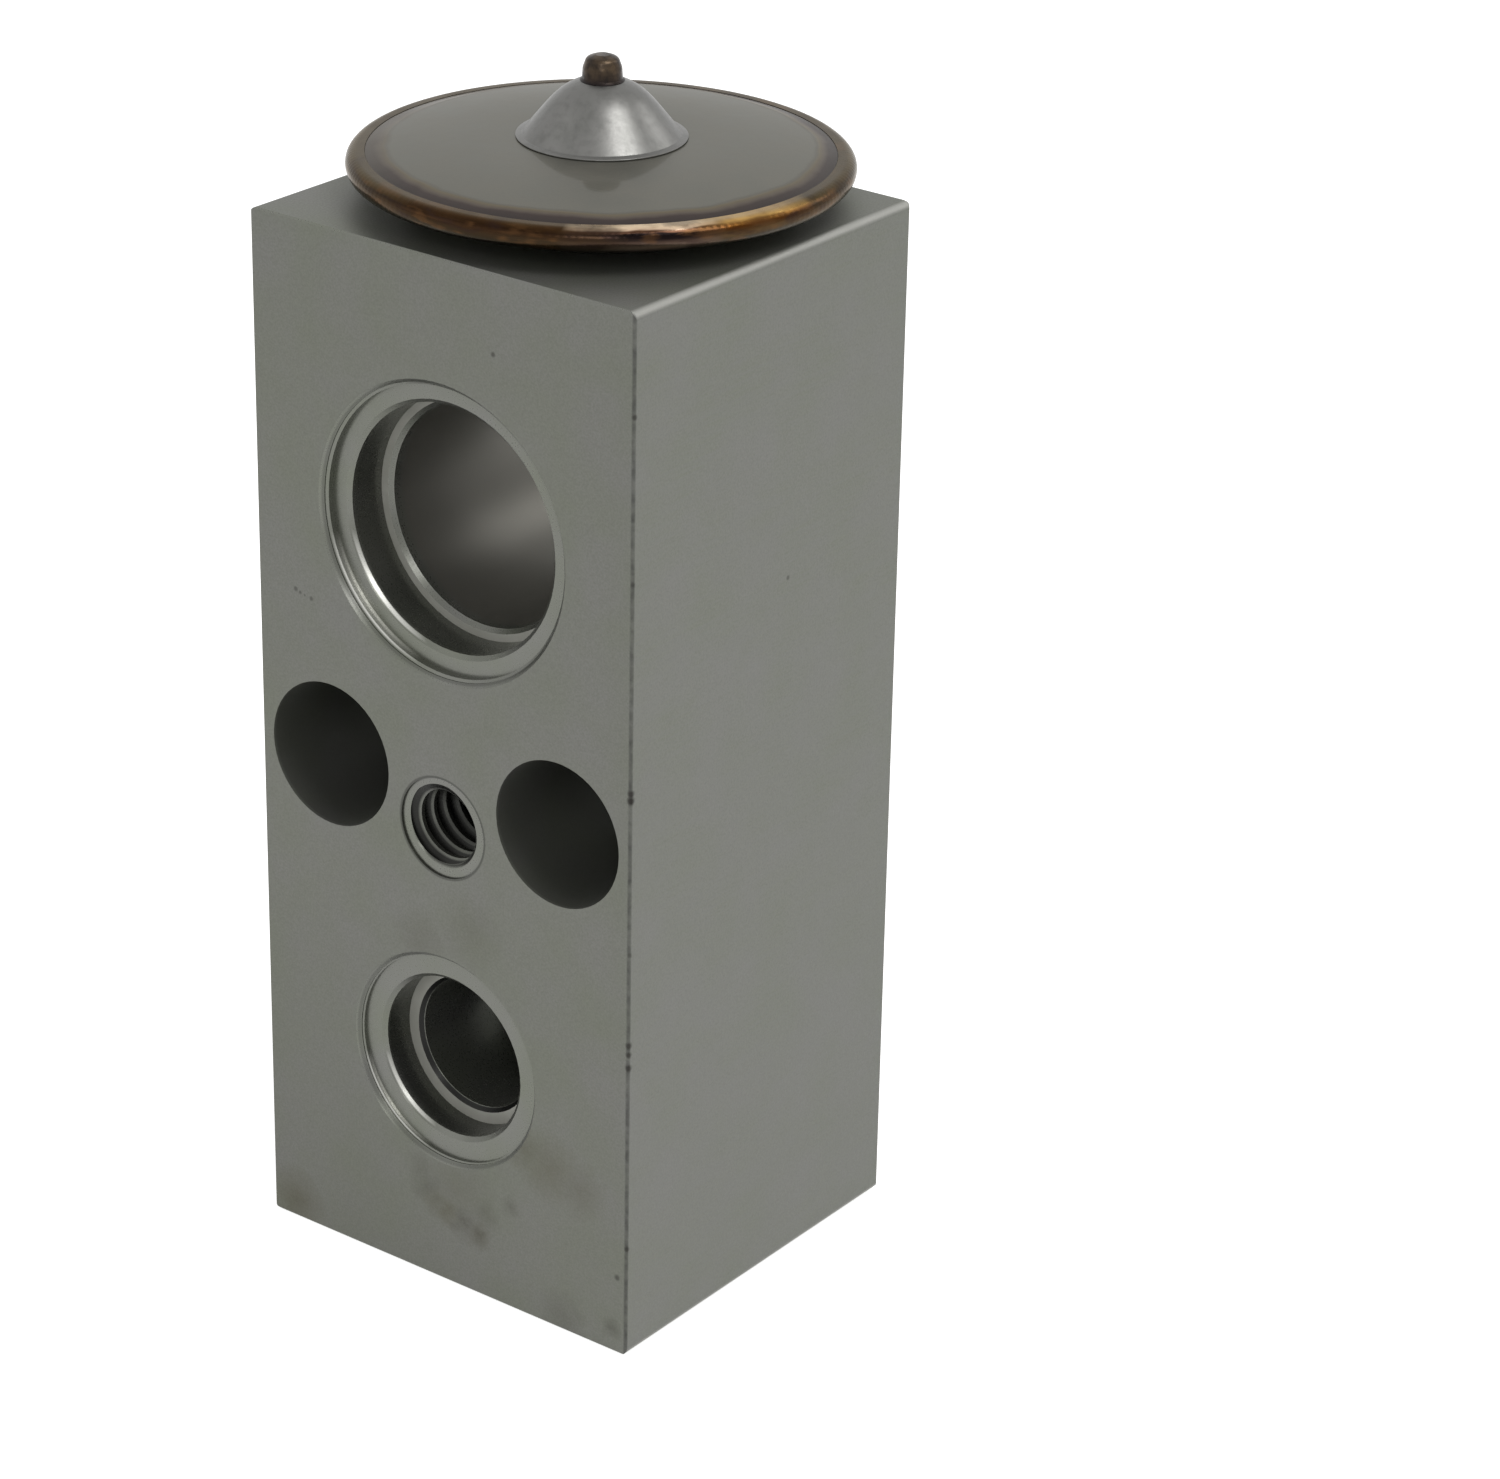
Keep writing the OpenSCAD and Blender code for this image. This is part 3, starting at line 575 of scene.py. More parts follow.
def block_finish(name, bored):
    """Aluminium as faced or drawn outside, or as turned inside the bores. Painted light: shade and
    highlights at the holes, shade in the bores, and outside a highlight on the rounded edges and a
    dark reflection along the near edge.
    """
    finish, tree, shader, place = new_finish(name, 0.7)
    fine = grain(tree, place, 7.0, 4.0)
    colour = mottled(tree, grain(tree, place, 0.22, 3.0), bar_cool, bar_warm)
    colour = tint(tree, ranged(tree, fine, 0.0, 0.12 if bored else 0.35), colour, bar_dark)
    at = split(tree, place)
    colour = mark_mouths(tree, colour, *at)
    if bored:
        colour, deep, in_bolt_holes = dim_bores(tree, colour, *at)
        rough = calc(tree, "ADD", ranged(tree, fine, 0.26, 0.32), product(tree, deep, 0.12))
        rough = calc(tree, "ADD", rough, product(tree, in_bolt_holes, 0.22))
        coat(tree, shader, colour, rough, [(fine, 0.0006)])
        return finish
    out_x, out_y, out_z = split(tree, add_node(tree, "ShaderNodeTexCoord").outputs["Normal"])
    side = calc(tree, "ABSOLUTE", out_x)
    drawn = grain(tree, place, 6.0, 2.0, stretch=(1, 0.03, 1))
    pale = product(tree, side, spread(tree, drawn, 0.35, 0.65, 0.1, 0.5))
    colour = tint(tree, pale, colour, drawn_pale)
    # painted highlight on the rounded edges of the bar
    rounded = calc(tree, "MINIMUM", side, calc(tree, "ABSOLUTE", out_z))
    colour = tint(tree, spread(tree, rounded, 0.15, 0.5, 0.0, 1.0), colour, rounded_edge_highlight)
    facing = spread(tree, out_y, -0.4, -0.8, 0.0, 1.0)
    colour, dark = mark_faces(tree, colour, place, facing)
    rough = calc(tree, "ADD", ranged(tree, fine, 0.46, 0.56), product(tree, dark, 0.2))
    coat(tree, shader, colour, rough, [(drawn, 0.0015), (fine, 0.006)])
    return finish


def lit_ledge_finish():
    """The ledges in the ports: painted light, far paler and less metallic than the block, with the
    fine rings that a form tool leaves.
    """
    finish, tree, shader, place = new_finish("ledge_aluminium_painted_light", 0.15)
    fine = grain(tree, place, 7.0, 4.0)
    colour = mottled(tree, grain(tree, place, 0.5, 3.0), ledge_painted_grey, ledge_painted_pale)
    coat(tree, shader, colour, ranged(tree, fine, 0.45, 0.55), [(fine, 0.001)])
    return finish


def from_axis(point, hole):
    """The vector to the axis of a hole at (x, z) in millimetres, square to the axis."""
    return Vector((hole[0] * mm - point.x, 0, hole[1] * mm - point.z))


def on_ledge(face):
    """Whether a face is part of the flat ledge between a port's sealing step and its bore."""
    depth = min(face.center.y - block_low.y, block_high.y - face.center.y)
    off_axis = min(from_axis(face.center, hole).length for hole in bore_axes[:3])
    flat = abs(face.normal.y) > ledge_tilt
    return flat and ledge_depths[0] < depth < ledge_depths[1] and off_axis < ledge_reach


def smooth_bores(piece):
    """Gives the walls of the round holes through the port sides the normals of true cylinders."""
    mesh = piece.data
    normals = [corner.vector.copy() for corner in mesh.corner_normals]
    for face in mesh.polygons:
        if face.material_index == 0 or abs(face.normal.y) > wall_tilt:
            continue
        for hole in bore_axes:
            inward = from_axis(face.center, hole)
            match = inward.normalized().dot(face.normal)
            if inward.length > widest_port_r or match < wall_match:
                continue
            for corner in face.loop_indices:
                place = mesh.vertices[mesh.loops[corner].vertex_index].co
                normals[corner] = from_axis(place, hole).normalized()
            break
    mesh.normals_split_custom_set(normals)


faced = block_finish("faced_aluminium", bored=False)
turned_bore = block_finish("bored_aluminium", bored=True)
block = merged_copy("valve_block", "block")
thread = coil_tree("thread_cutter")
stud_tap = grow("stud_tap", thread, {
    "Radius": tap_core_r - tap_overlap, "Pitch": tap_pitch, "Turns": tap_turns,
    "Depth": tap_depth + tap_overlap, "Width": tap_pitch * tap_root, "Tip": tap_pitch * tap_crest,
    "Material": turned_bore})
into_stud_hole = Matrix.Translation((0, front_y, stud_z)) @ Matrix.Rotation(-math.pi / 2, 4, "X")
stud_tap.data.transform(into_stud_hole @ Matrix.Translation((0, 0, -tap_start)))
sink_height = sink_ring + sink_depth
sink_mesh = bpy.data.meshes.new("countersink")
sink_shape = bmesh.new()
bmesh.ops.create_cone(
    sink_shape, cap_ends=True, segments=96, radius1=sink_r + sink_ring, radius2=sink_r - sink_depth,
    depth=sink_height)
sink_shape.to_mesh(sink_mesh)
sink_shape.free()
countersink = bpy.data.objects.new("countersink", sink_mesh)
scene.collection.objects.link(countersink)
countersink.data.transform(into_stud_hole @ Matrix.Translation((0, 0, sink_height / 2)))
screw_tap = grow("screw_tap", thread, {
    "Radius": screw_core_r - tap_overlap, "Pitch": screw_pitch, "Turns": screw_turns,
    "Depth": screw_depth + tap_overlap, "Width": screw_pitch * screw_root,
    "Tip": screw_pitch * tap_crest, "Material": turned_bore})
screw_tap.data.transform(Matrix.Translation((0, 0, -screw_start)))
for tap in (stud_tap, screw_tap, countersink):
    cut = block.modifiers.new("tapped", "BOOLEAN")
    cut.operation = "DIFFERENCE"
    cut.solver = "EXACT"
    cut.object = tap
settle(block)
bpy.data.objects.remove(stud_tap)
bpy.data.objects.remove(screw_tap)
bpy.data.objects.remove(countersink)
block.data.materials.clear()
block.data.materials.append(faced)
block.data.materials.append(turned_bore)
block.data.materials.append(lit_ledge_finish())
skin = 0.02 * mm
for face in block.data.polygons:
    inner = all(
        block_low[i] + skin < face.center[i] < block_high[i] - skin for i in range(3))
    from_edge = min(face.center.x - block_low.x, block_high.x - face.center.x)
    face.material_index = 1 if inner and from_edge > bar_edge_r else 0
    if on_ledge(face):
        face.material_index = 2
crease(block, 24)
smooth_bores(block)
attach(block, "body")
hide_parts("valve_block")

# The cap of the power head: a disc of steel pressed to a shallow dome, with a crease round it and
# a sloping band that runs down to the weld. The heat of welding tinted that band. The dish under
# it is pressed from the same sheet, and lies on the block.
rim_z = 78.4 * mm
cap_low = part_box("upper_housing")[0]
cap_r, cap_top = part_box("upper_housing")[1].xz
dish_low, dish_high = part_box("lower_housing")
plug_r = 5.75 * mm
crease_r = 14.4 * mm
crease_z = 79.53 * mm
sheet = 0.85 * mm
flange = 0.7 * mm
fill_hole_r = 1.2 * mm
crease_shift = 0.2 * mm
dome_steps = 12
heat_zone = (14.0, 15.75)
steel_dark = (0.118, 0.118, 0.106, 1)
steel_grey = (0.134, 0.132, 0.112, 1)
band_left_pale = (0.105, 0.090, 0.070, 1)
steel_warm = (0.150, 0.144, 0.121, 1)


def softened(outline, steps=6):
    """The points of a closed outline of (radius, height, rounding), with its corners rounded."""
    points = []
    count = len(outline)
    for i, (r, z, rounding) in enumerate(outline):
        corner = Vector((r, z))
        if not rounding:
            points.append(corner)
            continue
        back = Vector(outline[i - 1][:2]) - corner
        onward = Vector(outline[(i + 1) % count][:2]) - corner
        half = back.angle(onward) / 2
        reach = min(rounding / math.tan(half), 0.48 * back.length, 0.48 * onward.length)
        start = corner + reach * back.normalized()
        end = corner + reach * onward.normalized()
        for step in range(steps + 1):
            t = step / steps
            points.append((1 - t) ** 2 * start + 2 * t * (1 - t) * corner + t * t * end)
    return points


def turned(name, outline, sides=160, sharp=35, steps=6):
    """A piece turned about the stem axis from a closed outline of (radius, height, rounding)."""
    shell = bmesh.new()
    rings = []
    for r, z in softened(outline, steps):
        if r < 1e-6:
            rings.append([shell.verts.new((0, 0, z))])
        else:
            angles = (2 * math.pi * k / sides for k in range(sides))
            rings.append([shell.verts.new((r * math.cos(a), r * math.sin(a), z)) for a in angles])
    for low, high in zip(rings, rings[1:] + rings[:1]):
        if len(low) == 1 and len(high) == 1:
            continue
        for k in range(sides):
            after = (k + 1) % sides
            if len(low) == 1:
                shell.faces.new((low[0], high[after], high[k]))
            elif len(high) == 1:
                shell.faces.new((low[k], low[after], high[0]))
            else:
                shell.faces.new((low[k], low[after], high[after], high[k]))
    bmesh.ops.recalc_face_normals(shell, faces=shell.faces)
    mesh = bpy.data.meshes.new(name)
    shell.to_mesh(mesh)
    shell.free()
    piece = bpy.data.objects.new(name, mesh)
    scene.collection.objects.link(piece)
    crease(piece, sharp)
    return piece


def ramp(tree, value, stops):
    """A colour that runs through (place in 0..1, colour) stops."""
    band = add_node(tree, "ShaderNodeValToRGB", {"Fac": value})
    points = band.color_ramp.elements
    while len(points) < len(stops):
        points.new(0.5)
    for point, (place, colour) in zip(points, stops):
        point.position = place
        point.color = (*colour, 1)
    return band.outputs["Color"]


def pressed_finish():
    """Dull pressed steel, tinted violet and straw next to the weld."""
    finish, tree, shader, place = new_finish("pressed_steel")
    shader.inputs["Coat Weight"].default_value = 0.28
    shader.inputs["Coat Roughness"].default_value = 0.08
    shader.inputs["Specular Tint"].default_value = (0.75, 0.75, 0.73, 1)
    x, y = split(tree, place)[:2]
    cloud = grain(tree, place, 0.35, 4.0)
    fine = grain(tree, place, 6.0, 4.0)
    colour = mottled(tree, cloud, steel_grey, steel_warm)
    colour = tint(tree, spread(tree, fine, 0.35, 0.7, 0.0, 0.3), colour, steel_dark)
    wander = swayed(tree, hypotenuse(tree, x, y), grain(tree, place, 0.25, 3.0), 0.9)
    heat = spread(tree, wander, *heat_zone, 0.0, 1.0)
    tinted = ramp(tree, heat, (
        (0.0, (0.118, 0.114, 0.094)), (0.12, (0.085, 0.076, 0.062)), (0.26, (0.130, 0.108, 0.070)),
        (0.44, (0.095, 0.076, 0.060)), (0.62, (0.040, 0.027, 0.024)), (1.0, (0.026, 0.018, 0.016))))
    # the tinted band is lighter towards the left side
    tinted = tint(tree, spread(tree, x, -13.5, -5.0, 0.7, 0.0), tinted, band_left_pale)
    colour = tint(tree, spread(tree, heat, 0.0, 0.3, 0.0, 1.0), colour, tinted)
    coat(tree, shader, colour, ranged(tree, cloud, 0.46, 0.54), [(cloud, 0.012), (fine, 0.0012)])
    return finish


pressed = pressed_finish()
dome = []
for i in range(dome_steps + 1):
    t = i / dome_steps
    dome.append((plug_r + (crease_r - plug_r) * t, cap_top - (cap_top - crease_z) * t * t))
cap = turned("cap", [
    (fill_hole_r, cap_top, 0), *((r, z, 0) for r, z in dome[:-1]), (crease_r, crease_z, 0.5 * mm),
    (cap_r, cap_low.z + flange, 0), (cap_r, cap_low.z, 0),
    (crease_r - crease_shift, cap_low.z, 0.3 * mm),
    *((r - crease_shift, z - sheet, 0) for r, z in reversed(dome)),
    (fill_hole_r, cap_top - sheet, 0)], sides=240)
cap.data.materials.append(pressed)
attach(cap, "body")
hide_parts("upper_housing")

dish_in = 7.2 * mm
foot_r = 12.0 * mm
dish = turned("dish", [
    (dish_in, dish_low.z, 0), (foot_r, dish_low.z, 0.5 * mm),
    (crease_r, dish_high.z - flange, 0.5 * mm), (dish_high.x, dish_high.z - flange, 0),
    (dish_high.x, dish_high.z, 0),
    (crease_r - 0.4 * mm, dish_high.z, 0.3 * mm), (foot_r - 0.4 * mm, dish_low.z + sheet, 0.3 * mm),
    (dish_in, dish_low.z + sheet, 0)], sides=200)
dish.data.materials.append(pressed)
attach(dish, "body")
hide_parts("lower_housing")

# The weld that joins cap, dish and diaphragm at the rim: a rounded bead with the fine ripples
# of the welding pulses, tinted straw, copper and violet by its own heat. Its colours also hold
# painted light: a painted highlight along its top and a painted dark reflection across its middle.
weld_low, weld_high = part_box("rim_weld")
bead_r = (weld_high.z - weld_low.z) / 2
bead_centre = weld_high.x - bead_r
weld_root = 0.48 * mm
bead_steps = 20
weld_sides = 1680
ripple_count = 210
ripple_depth = 0.005 * mm
weld_copper = (0.13, 0.062, 0.024, 1)
weld_violet = (0.024, 0.014, 0.012, 1)


def ripple_tree():
    """Lets the ripples of a welding bead into the outer side of a ring."""
    tree, given = new_tree("weld_ripples", {
        "Count": "Float", "Depth": "Float", "Centre": "Float", "Material": "Material"},
        takes_mesh=True)
    x, y = split(tree, add_node(tree, "GeometryNodeInputPosition").outputs[0])[:2]
    out = calc(tree, "SUBTRACT", hypotenuse(tree, x, y), given["Centre"])
    bow = product(tree, out, 1 / bead_r)
    round_way = calc(tree, "ADD", calc(tree, "ARCTAN2", x, y), product(tree, bow, 0.012))
    turns = product(tree, round_way, product(tree, given["Count"], 0.5))
    hollow = calc(tree, "SUBTRACT", 1.0, calc(tree, "ABSOLUTE", calc(tree, "SINE", turns)))
    bumpy = product(tree, hollow, calc(tree, "MULTIPLY", bow, 2.0, clamp=True))
    inward = product(tree, bumpy, product(tree, given["Depth"], -1.0))
    normal = add_node(tree, "GeometryNodeInputNormal").outputs[0]
    step = add_node(tree, "ShaderNodeVectorMath", {0: normal, "Scale": inward}, operation="SCALE")
    moved = add_node(tree, "GeometryNodeSetPosition", {
        "Geometry": given["Geometry"], "Offset": step.outputs[0]})
    end_tree(tree, moved.outputs[0])
    return tree


def weld_finish():
    """Heat tint and painted light, a highlight and dark reflections, that change over the bead's
    section and along the rim.
    """
    finish, tree, shader, place = new_finish("tinted_weld")
    shader.inputs["Specular Tint"].default_value = (0.82, 0.80, 0.76, 1)
    x, y, z = split(tree, place)
    up = calc(tree, "SUBTRACT", z, rim_z / mm)
    out = calc(tree, "SUBTRACT", hypotenuse(tree, x, y), bead_centre / mm)
    lean = calc(tree, "ARCTAN2", up, calc(tree, "MAXIMUM", out, 0.001))
    patch = grain(tree, place, 0.3, 2.0, stretch=(1, 1, 0.3))
    streak = grain(tree, place, 1.5, 3.0, stretch=(0.2, 0.2, 1.6))
    lean = swayed(tree, lean, streak, 0.6)
    share = spread(tree, lean, math.radians(-80), math.radians(90), 0.0, 1.0)
    # each ramp runs over the bead's section; beside heat tint it holds painted light, a painted
    # highlight near the top and a painted dark reflection across the middle
    brown = ramp(tree, share, (
        (0.0, (0.09, 0.085, 0.06)), (0.25, (0.050, 0.042, 0.030)), (0.42, (0.060, 0.036, 0.020)),
        (0.55, (0.050, 0.032, 0.018)), (0.66, (0.028, 0.018, 0.011)), (0.76, (0.055, 0.034, 0.014)),
        (0.88, (0.066, 0.048, 0.024)), (1.0, (0.056, 0.042, 0.026))))
    dusky = ramp(tree, share, (
        (0.0, (0.12, 0.11, 0.09)), (0.25, (0.020, 0.016, 0.010)), (0.47, (0.032, 0.020, 0.011)),
        (0.57, (0.042, 0.022, 0.011)), (0.68, (0.020, 0.010, 0.005)), (0.82, (0.040, 0.020, 0.008)),
        (0.96, (0.060, 0.036, 0.016))))
    bead_highlight = ramp(tree, share, (
        (0.0, (0.16, 0.13, 0.11)), (0.33, (0.12, 0.085, 0.065)), (0.47, (0.050, 0.032, 0.024)),
        (0.57, (0.012, 0.008, 0.008)), (0.70, (0.004, 0.003, 0.003)), (0.77, (0.10, 0.05, 0.03)),
        (0.83, (0.62, 0.46, 0.32)), (1.0, (0.72, 0.56, 0.38))))
    gold_and_highlight = ramp(tree, share, (
        (0.0, (0.14, 0.12, 0.10)), (0.29, (0.030, 0.026, 0.020)), (0.47, (0.066, 0.040, 0.018)),
        (0.64, (0.066, 0.022, 0.004)), (0.73, (0.17, 0.080, 0.018)), (0.81, (0.50, 0.30, 0.095)),
        (0.95, (0.44, 0.30, 0.14))))
    round_way = calc(tree, "ARCTAN2", x, product(tree, y, -1.0))
    round_way = swayed(tree, round_way, patch, math.radians(26))
    colour = brown
    # what each colour changes to along the rim, and the angles between which it fades in and out;
    # the painted highlight is brightest on the right of the rim
    changes = ((dusky, -24, -4, 28, 46), (bead_highlight, 30, 46, 54, 68), (gold_and_highlight, 54, 68, 76, 98))
    for other, *angles in changes:
        start, full, fading, end = (math.radians(angle) for angle in angles)
        rising = spread(tree, round_way, start, full, 0.0, 1.0)
        falling = spread(tree, round_way, fading, end, 1.0, 0.0)
        colour = tint(tree, product(tree, rising, falling), colour, other)
    fleck = grain(tree, place, 1.2, 3.0, stretch=(0.35, 0.35, 1.4))
    colour = tint(tree, spread(tree, fleck, 0.52, 0.64, 0.0, 0.55), colour, weld_violet)
    colour = tint(tree, spread(tree, fleck, 0.46, 0.36, 0.0, 0.28), colour, weld_copper)
    coat(tree, shader, colour, ranged(tree, streak, 0.18, 0.30), [(streak, 0.02)])
    return finish


tinted = weld_finish()
bead = [
    (bead_centre + bead_r * math.cos(a), rim_z + bead_r * math.sin(a), 0)
    for a in (math.pi * (i / bead_steps - 0.5) for i in range(bead_steps + 1))]
weld = turned("weld", [
    (bead_centre - weld_root, weld_low.z, 0), *bead, (bead_centre - weld_root, weld_high.z, 0)],
    sides=weld_sides)
grow_on(weld, ripple_tree(), {
    "Count": ripple_count, "Depth": ripple_depth, "Centre": bead_centre, "Material": tinted})
weld.data.materials.clear()
weld.data.materials.append(tinted)
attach(weld, "body")
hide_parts("rim_weld")

# The charging plug: a turned steel cone that is welded on the cap, with a thin lip at its foot.
# The head is filled through its bore, which the dark ball then closes for good.
plug_low, plug_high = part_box("charge_plug")
ball_low, ball_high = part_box("seal_ball")
plug_foot = plug_low.z
plug_bore_r = 0.6 * mm
cup_z = plug_high.z
ball_r = ball_high.x
ball_mid = (ball_low.z + ball_high.z) / 2
ball_foot = ball_mid - 1.1 * mm
plug_grey = (0.152, 0.152, 0.144, 1)
plug_pale = (0.172, 0.170, 0.163, 1)
bronze_brown = (0.075, 0.052, 0.032, 1)
bronze_dark = (0.026, 0.019, 0.014, 1)
bronze_foot = (0.012, 0.009, 0.009, 1)
# the plug's side between its lip and its cup: radius, height above the cup's edge and rounding,
# in millimetres
plug_side = (
    (3.75, -1.72, 1.5), (3.35, -1.27, 0), (2.95, -0.88, 0), (2.50, -0.54, 0), (2.05, -0.27, 0),
    (1.50, -0.03, 0.15), (1.34, 0, 0.03))


def turned_finish(name, colour, other, roughness, pitch, depth):
    """Metal with the fine rings that a lathe leaves."""
    finish, tree, shader, place = new_finish(name)
    x, y, z = split(tree, place)
    phase = calc(tree, "ADD", hypotenuse(tree, x, y), z)
    phase = product(tree, phase, 2 * math.pi / pitch)
    groove = calc(tree, "MULTIPLY_ADD", calc(tree, "SINE", phase), 0.5, 0.5)
    fine = grain(tree, place, 7.0, 3.0)
    pits = spread(tree, grain(tree, place, 1.8, 4.0), 0.45, 0.70, 0.0, 0.28)
    mixed = mottled(tree, grain(tree, place, 0.5, 4.0), colour, other)
    mixed = tint(tree, pits, mixed, (*(0.55 * part for part in colour[:3]), 1))
    rough = ranged(tree, fine, roughness - 0.04, roughness + 0.04)
    coat(tree, shader, mixed, rough, [(groove, depth), (fine, 0.002)])
    return finish


plug_steel = turned_finish("plug_steel", plug_grey, plug_pale, 0.35, 0.09, 0.0006)
plug = turned("plug", [
    (plug_bore_r, plug_foot, 0), (plug_r, plug_foot, 0.03 * mm),
    (plug_r, plug_foot + 0.10 * mm, 0.05 * mm),
    (plug_r - 0.42 * mm, plug_foot + 0.20 * mm, 0.12 * mm),
    *((r * mm, cup_z + up * mm, rounding * mm) for r, up, rounding in plug_side),
    (plug_bore_r, cup_z - 0.5 * mm, 0)], sides=200)
plug.data.materials.append(plug_steel)
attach(plug, "body")
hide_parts("charge_plug")


def bronze_finish():
    """Brown oxide on a ball of weld metal, darker towards its foot."""
    finish, tree, shader, place = new_finish("dark_bronze", 0.85)
    height = split(tree, place)[2]
    mottle = grain(tree, place, 1.6, 4.0)
    foot = spread(tree, height, ball_low.z / mm + 0.9, ball_low.z / mm + 1.9, 1.0, 0.0)
    colour = tint(tree, spread(tree, mottle, 0.35, 0.65, 0, 1), bronze_brown, bronze_dark)
    colour = tint(tree, foot, colour, bronze_foot)
    coat(tree, shader, colour, ranged(tree, mottle, 0.26, 0.40), [(mottle, 0.03)])
    return finish


ball = turned("ball", [
    (0, ball_foot, 0), (0.5 * mm, ball_foot, 0), (1.25 * mm, ball_mid - 0.75 * mm, 0.1 * mm),
    (1.52 * mm, cup_z + 0.01 * mm, 0.05 * mm), (1.36 * mm, cup_z + 0.14 * mm, 0.12 * mm),
    (ball_r, ball_mid + 0.45 * mm, 0.7 * mm), (1.08 * mm, ball_high.z - 0.20 * mm, 0.5 * mm),
    (0.50 * mm, ball_high.z, 0.3 * mm), (0, ball_high.z, 0)], sides=96, sharp=60)
ball.data.materials.append(bronze_finish())
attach(ball, "body")
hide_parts("seal_ball")

# The spring under the ball: round steel wire, coiled with closed ends, and made in a lower and
# an upper half.
spring_low, spring_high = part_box("superheat_spring")
wire_r = 0.5 * mm
coil_r = spring_high.x - wire_r
spring_turns = 4.5
spring_points = 97
closed_pitch = 2.16
drawn_grey = (0.30, 0.31, 0.33, 1)
drawn_blue = (0.22, 0.22, 0.24, 1)


def drawn_finish(name, colour, other, roughness):
    """Bright or blued steel with fine scuffs."""
    finish, tree, shader, place = new_finish(name)
    fine = grain(tree, place, 9.0, 3.0)
    mixed = mottled(tree, grain(tree, place, 0.8, 4.0), colour, other)
    rough = ranged(tree, fine, roughness - 0.05, roughness + 0.05)
    coat(tree, shader, mixed, rough, [(fine, 0.002)])
    return finish


def spring_tree():
    """A stretch of a coil spring with closed end turns, standing on z = 0."""
    tree, given = new_tree("coil_spring", {
        "From Turn": "Float", "To Turn": "Float", "Turns": "Float", "Radius": "Float",
        "Wire": "Float", "Height": "Float", "Material": "Material"})
    line = add_node(tree, "GeometryNodeCurvePrimitiveLine")
    dense = add_node(tree, "GeometryNodeResampleCurve", {
        "Curve": line.outputs[0], "Count": spring_points})
    along = add_node(tree, "GeometryNodeSplineParameter").outputs["Factor"]
    length = calc(tree, "SUBTRACT", given["To Turn"], given["From Turn"])
    turn = calc(tree, "ADD", given["From Turn"], product(tree, along, length))
    angle = product(tree, turn, 2 * math.pi)
    closed = product(tree, given["Wire"], closed_pitch)
    open_turns = calc(tree, "SUBTRACT", given["Turns"], 2.0)
    rise = calc(tree, "SUBTRACT", given["Height"], product(tree, closed, 2.0))
    rise = calc(tree, "DIVIDE", rise, open_turns)
    first = product(tree, calc(tree, "MINIMUM", turn, 1.0), closed)
    inner = calc(tree, "MAXIMUM", calc(tree, "SUBTRACT", turn, 1.0), 0.0)
    inner = product(tree, calc(tree, "MINIMUM", inner, open_turns), rise)
    last = calc(tree, "SUBTRACT", turn, calc(tree, "SUBTRACT", given["Turns"], 1.0))
    last = product(tree, calc(tree, "MAXIMUM", last, 0.0), closed)
    place = add_node(tree, "ShaderNodeCombineXYZ", {
        "X": product(tree, given["Radius"], calc(tree, "COSINE", angle)),
        "Y": product(tree, given["Radius"], calc(tree, "SINE", angle)),
        "Z": calc(tree, "ADD", calc(tree, "ADD", first, inner), last)})
    wound = add_node(tree, "GeometryNodeSetPosition", {
        "Geometry": dense.outputs[0], "Position": place.outputs[0]})
    section = add_node(tree, "GeometryNodeCurvePrimitiveCircle", {
        "Resolution": 20, "Radius": given["Wire"]})
    wire = add_node(tree, "GeometryNodeCurveToMesh", {
        "Curve": wound.outputs[0], "Profile Curve": section.outputs["Curve"], "Fill Caps": True})
    end_tree(tree, wire.outputs[0])
    return tree


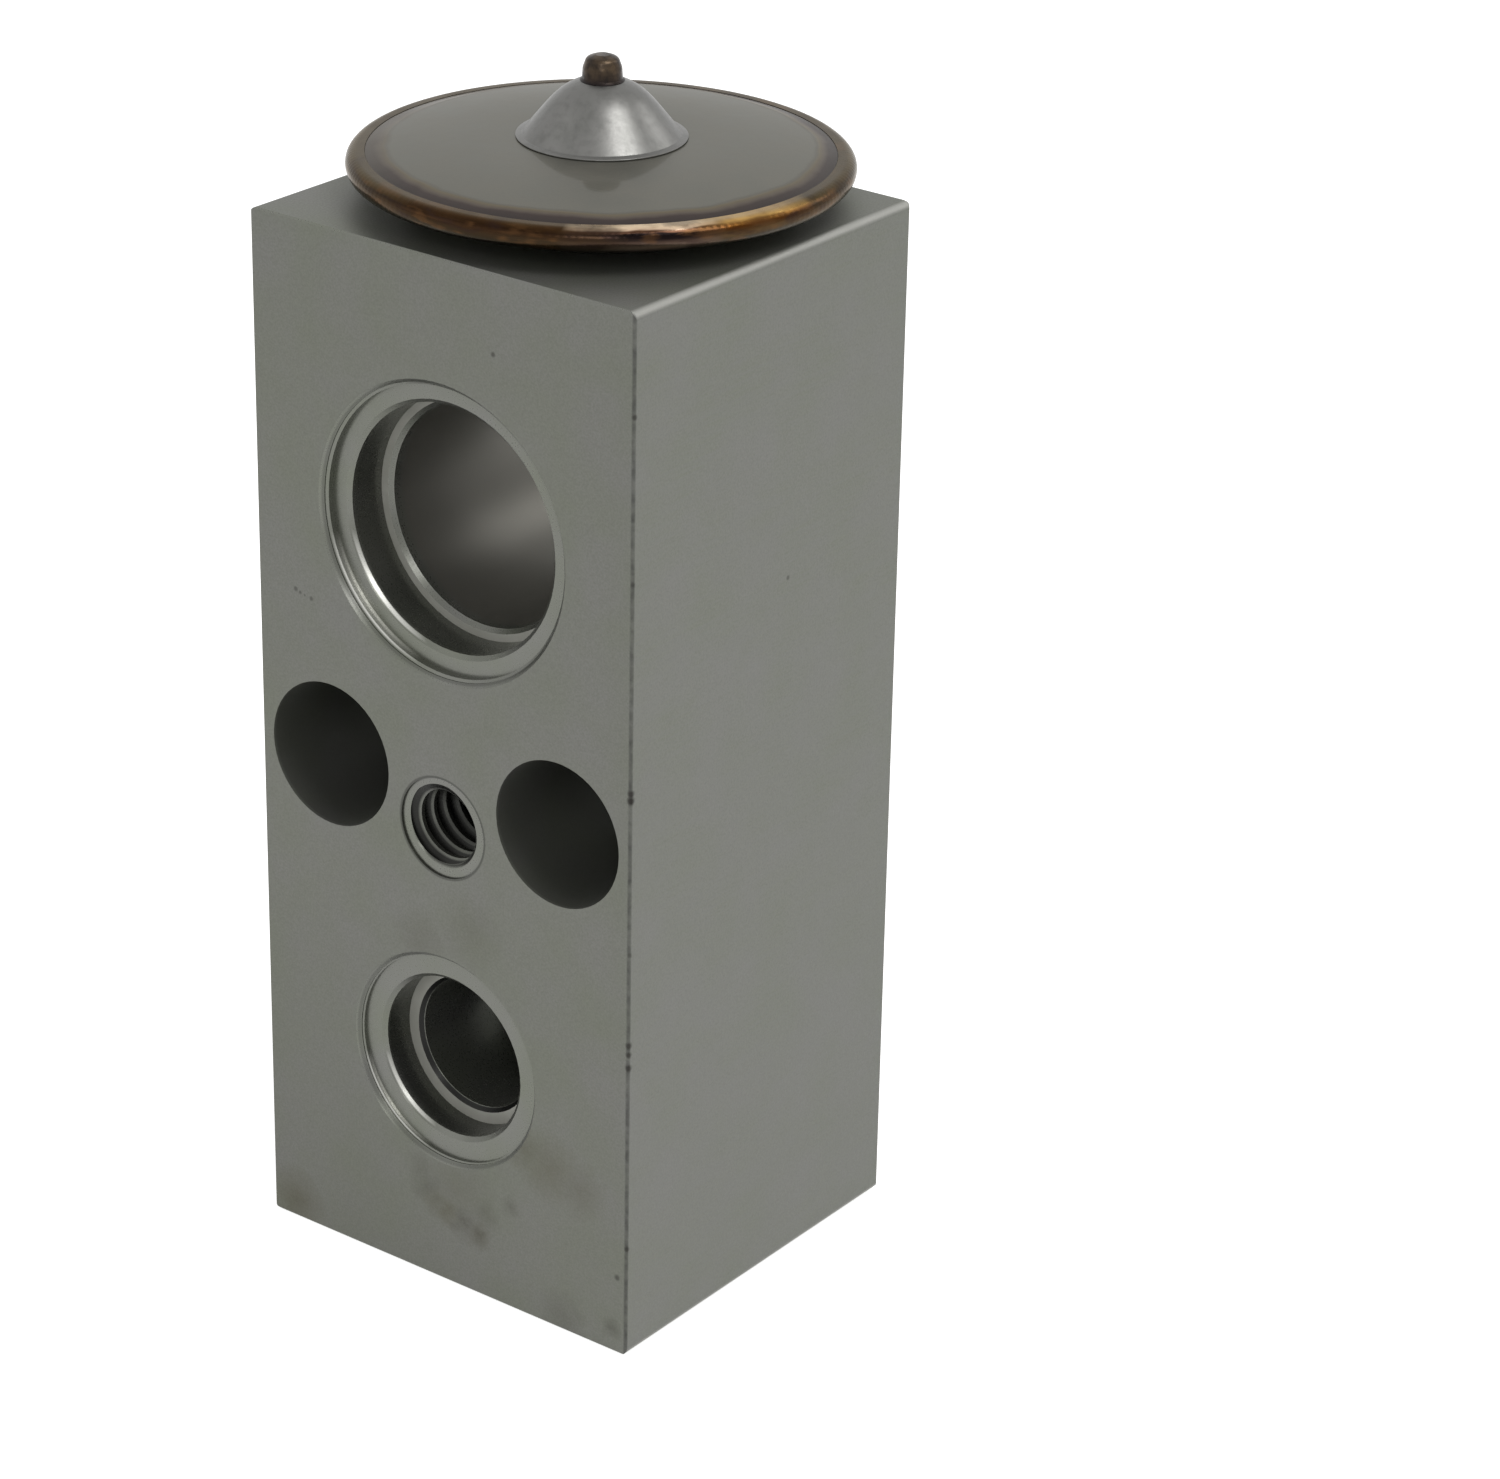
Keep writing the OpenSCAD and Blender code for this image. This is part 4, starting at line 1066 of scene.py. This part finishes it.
spring_steel = drawn_finish("spring_steel", drawn_grey, drawn_blue, 0.28)
wound = spring_tree()
foot = Vector((0, 0, spring_low.z + wire_r))
rise = spring_high.z - spring_low.z - 2 * wire_r
middle = Vector((0, 0, foot.z + rise / 2))
head = Vector((0, 0, foot.z + rise))
halves = (
    ("spring_lower", 0.0, spring_turns / 2, "screw_ring", "body", foot, middle),
    ("spring_upper", spring_turns / 2, spring_turns, "body", "stem", middle, head))
for name, first, last, lower, upper, start, end in halves:
    half = grow(name, wound, {
        "From Turn": first, "To Turn": last, "Turns": spring_turns, "Radius": coil_r,
        "Wire": wire_r, "Height": rise, "Material": spring_steel})
    half.data.transform(Matrix.Translation(foot))
    crease(half, 50)
    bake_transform(half)
    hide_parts("superheat_spring")

# The pieces inside, which keep the shapes that they were made to: ground steel for the rod, the
# pin, the ball and its cup, brass for the turned pieces, spring steel for the sheet parts, and
# black rubber for the three O-rings.
ground_pale = (0.42, 0.42, 0.42, 1)
ground_grey = (0.36, 0.36, 0.37, 1)
brass_yellow = (0.42, 0.29, 0.10, 1)
brass_pale = (0.50, 0.36, 0.14, 1)
rubber_black = (0.008, 0.009, 0.009, 1)
rubber_bloom = (0.018, 0.019, 0.019, 1)
bright_steel = drawn_finish("bright_steel", ground_pale, ground_grey, 0.20)
turned_brass = turned_finish("turned_brass", brass_yellow, brass_pale, 0.26, 0.12, 0.001)


def rubber_finish():
    """Matt black rubber with a faint bloom."""
    finish, tree, shader, place = new_finish("black_rubber", 0.0)
    bloom = grain(tree, place, 0.9, 4.0)
    fine = grain(tree, place, 12.0, 2.0)
    colour = tint(tree, spread(tree, bloom, 0.35, 0.7, 0, 1), rubber_black, rubber_bloom)
    coat(tree, shader, colour, ranged(tree, bloom, 0.5, 0.62), [(fine, 0.006)])
    return finish


black_rubber = rubber_finish()
finishes = {
    "bright_steel": bright_steel, "spring_steel": spring_steel,
    "turned_brass": turned_brass, "black_rubber": black_rubber}
kept = {
    "bright_steel": ("sensing_rod", "push_pin", "valve_ball", "ball_carrier"),
    "spring_steel": ("diaphragm", "seal_retainer", "damping_ring"),
    "turned_brass": ("neck_collar", "thrust_pad", "adjusting_screw"),
    "black_rubber": ("head_gasket", "rod_seal", "screw_seal")}
for slot_name, names in kept.items():
    for name in names:
        for material_slot in cad_nodes[name].material_slots:
            material_slot.material = finishes[slot_name]

size = {"cad": [list(cad_low), list(cad_high)], "visual": [list(corner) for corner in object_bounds()]}
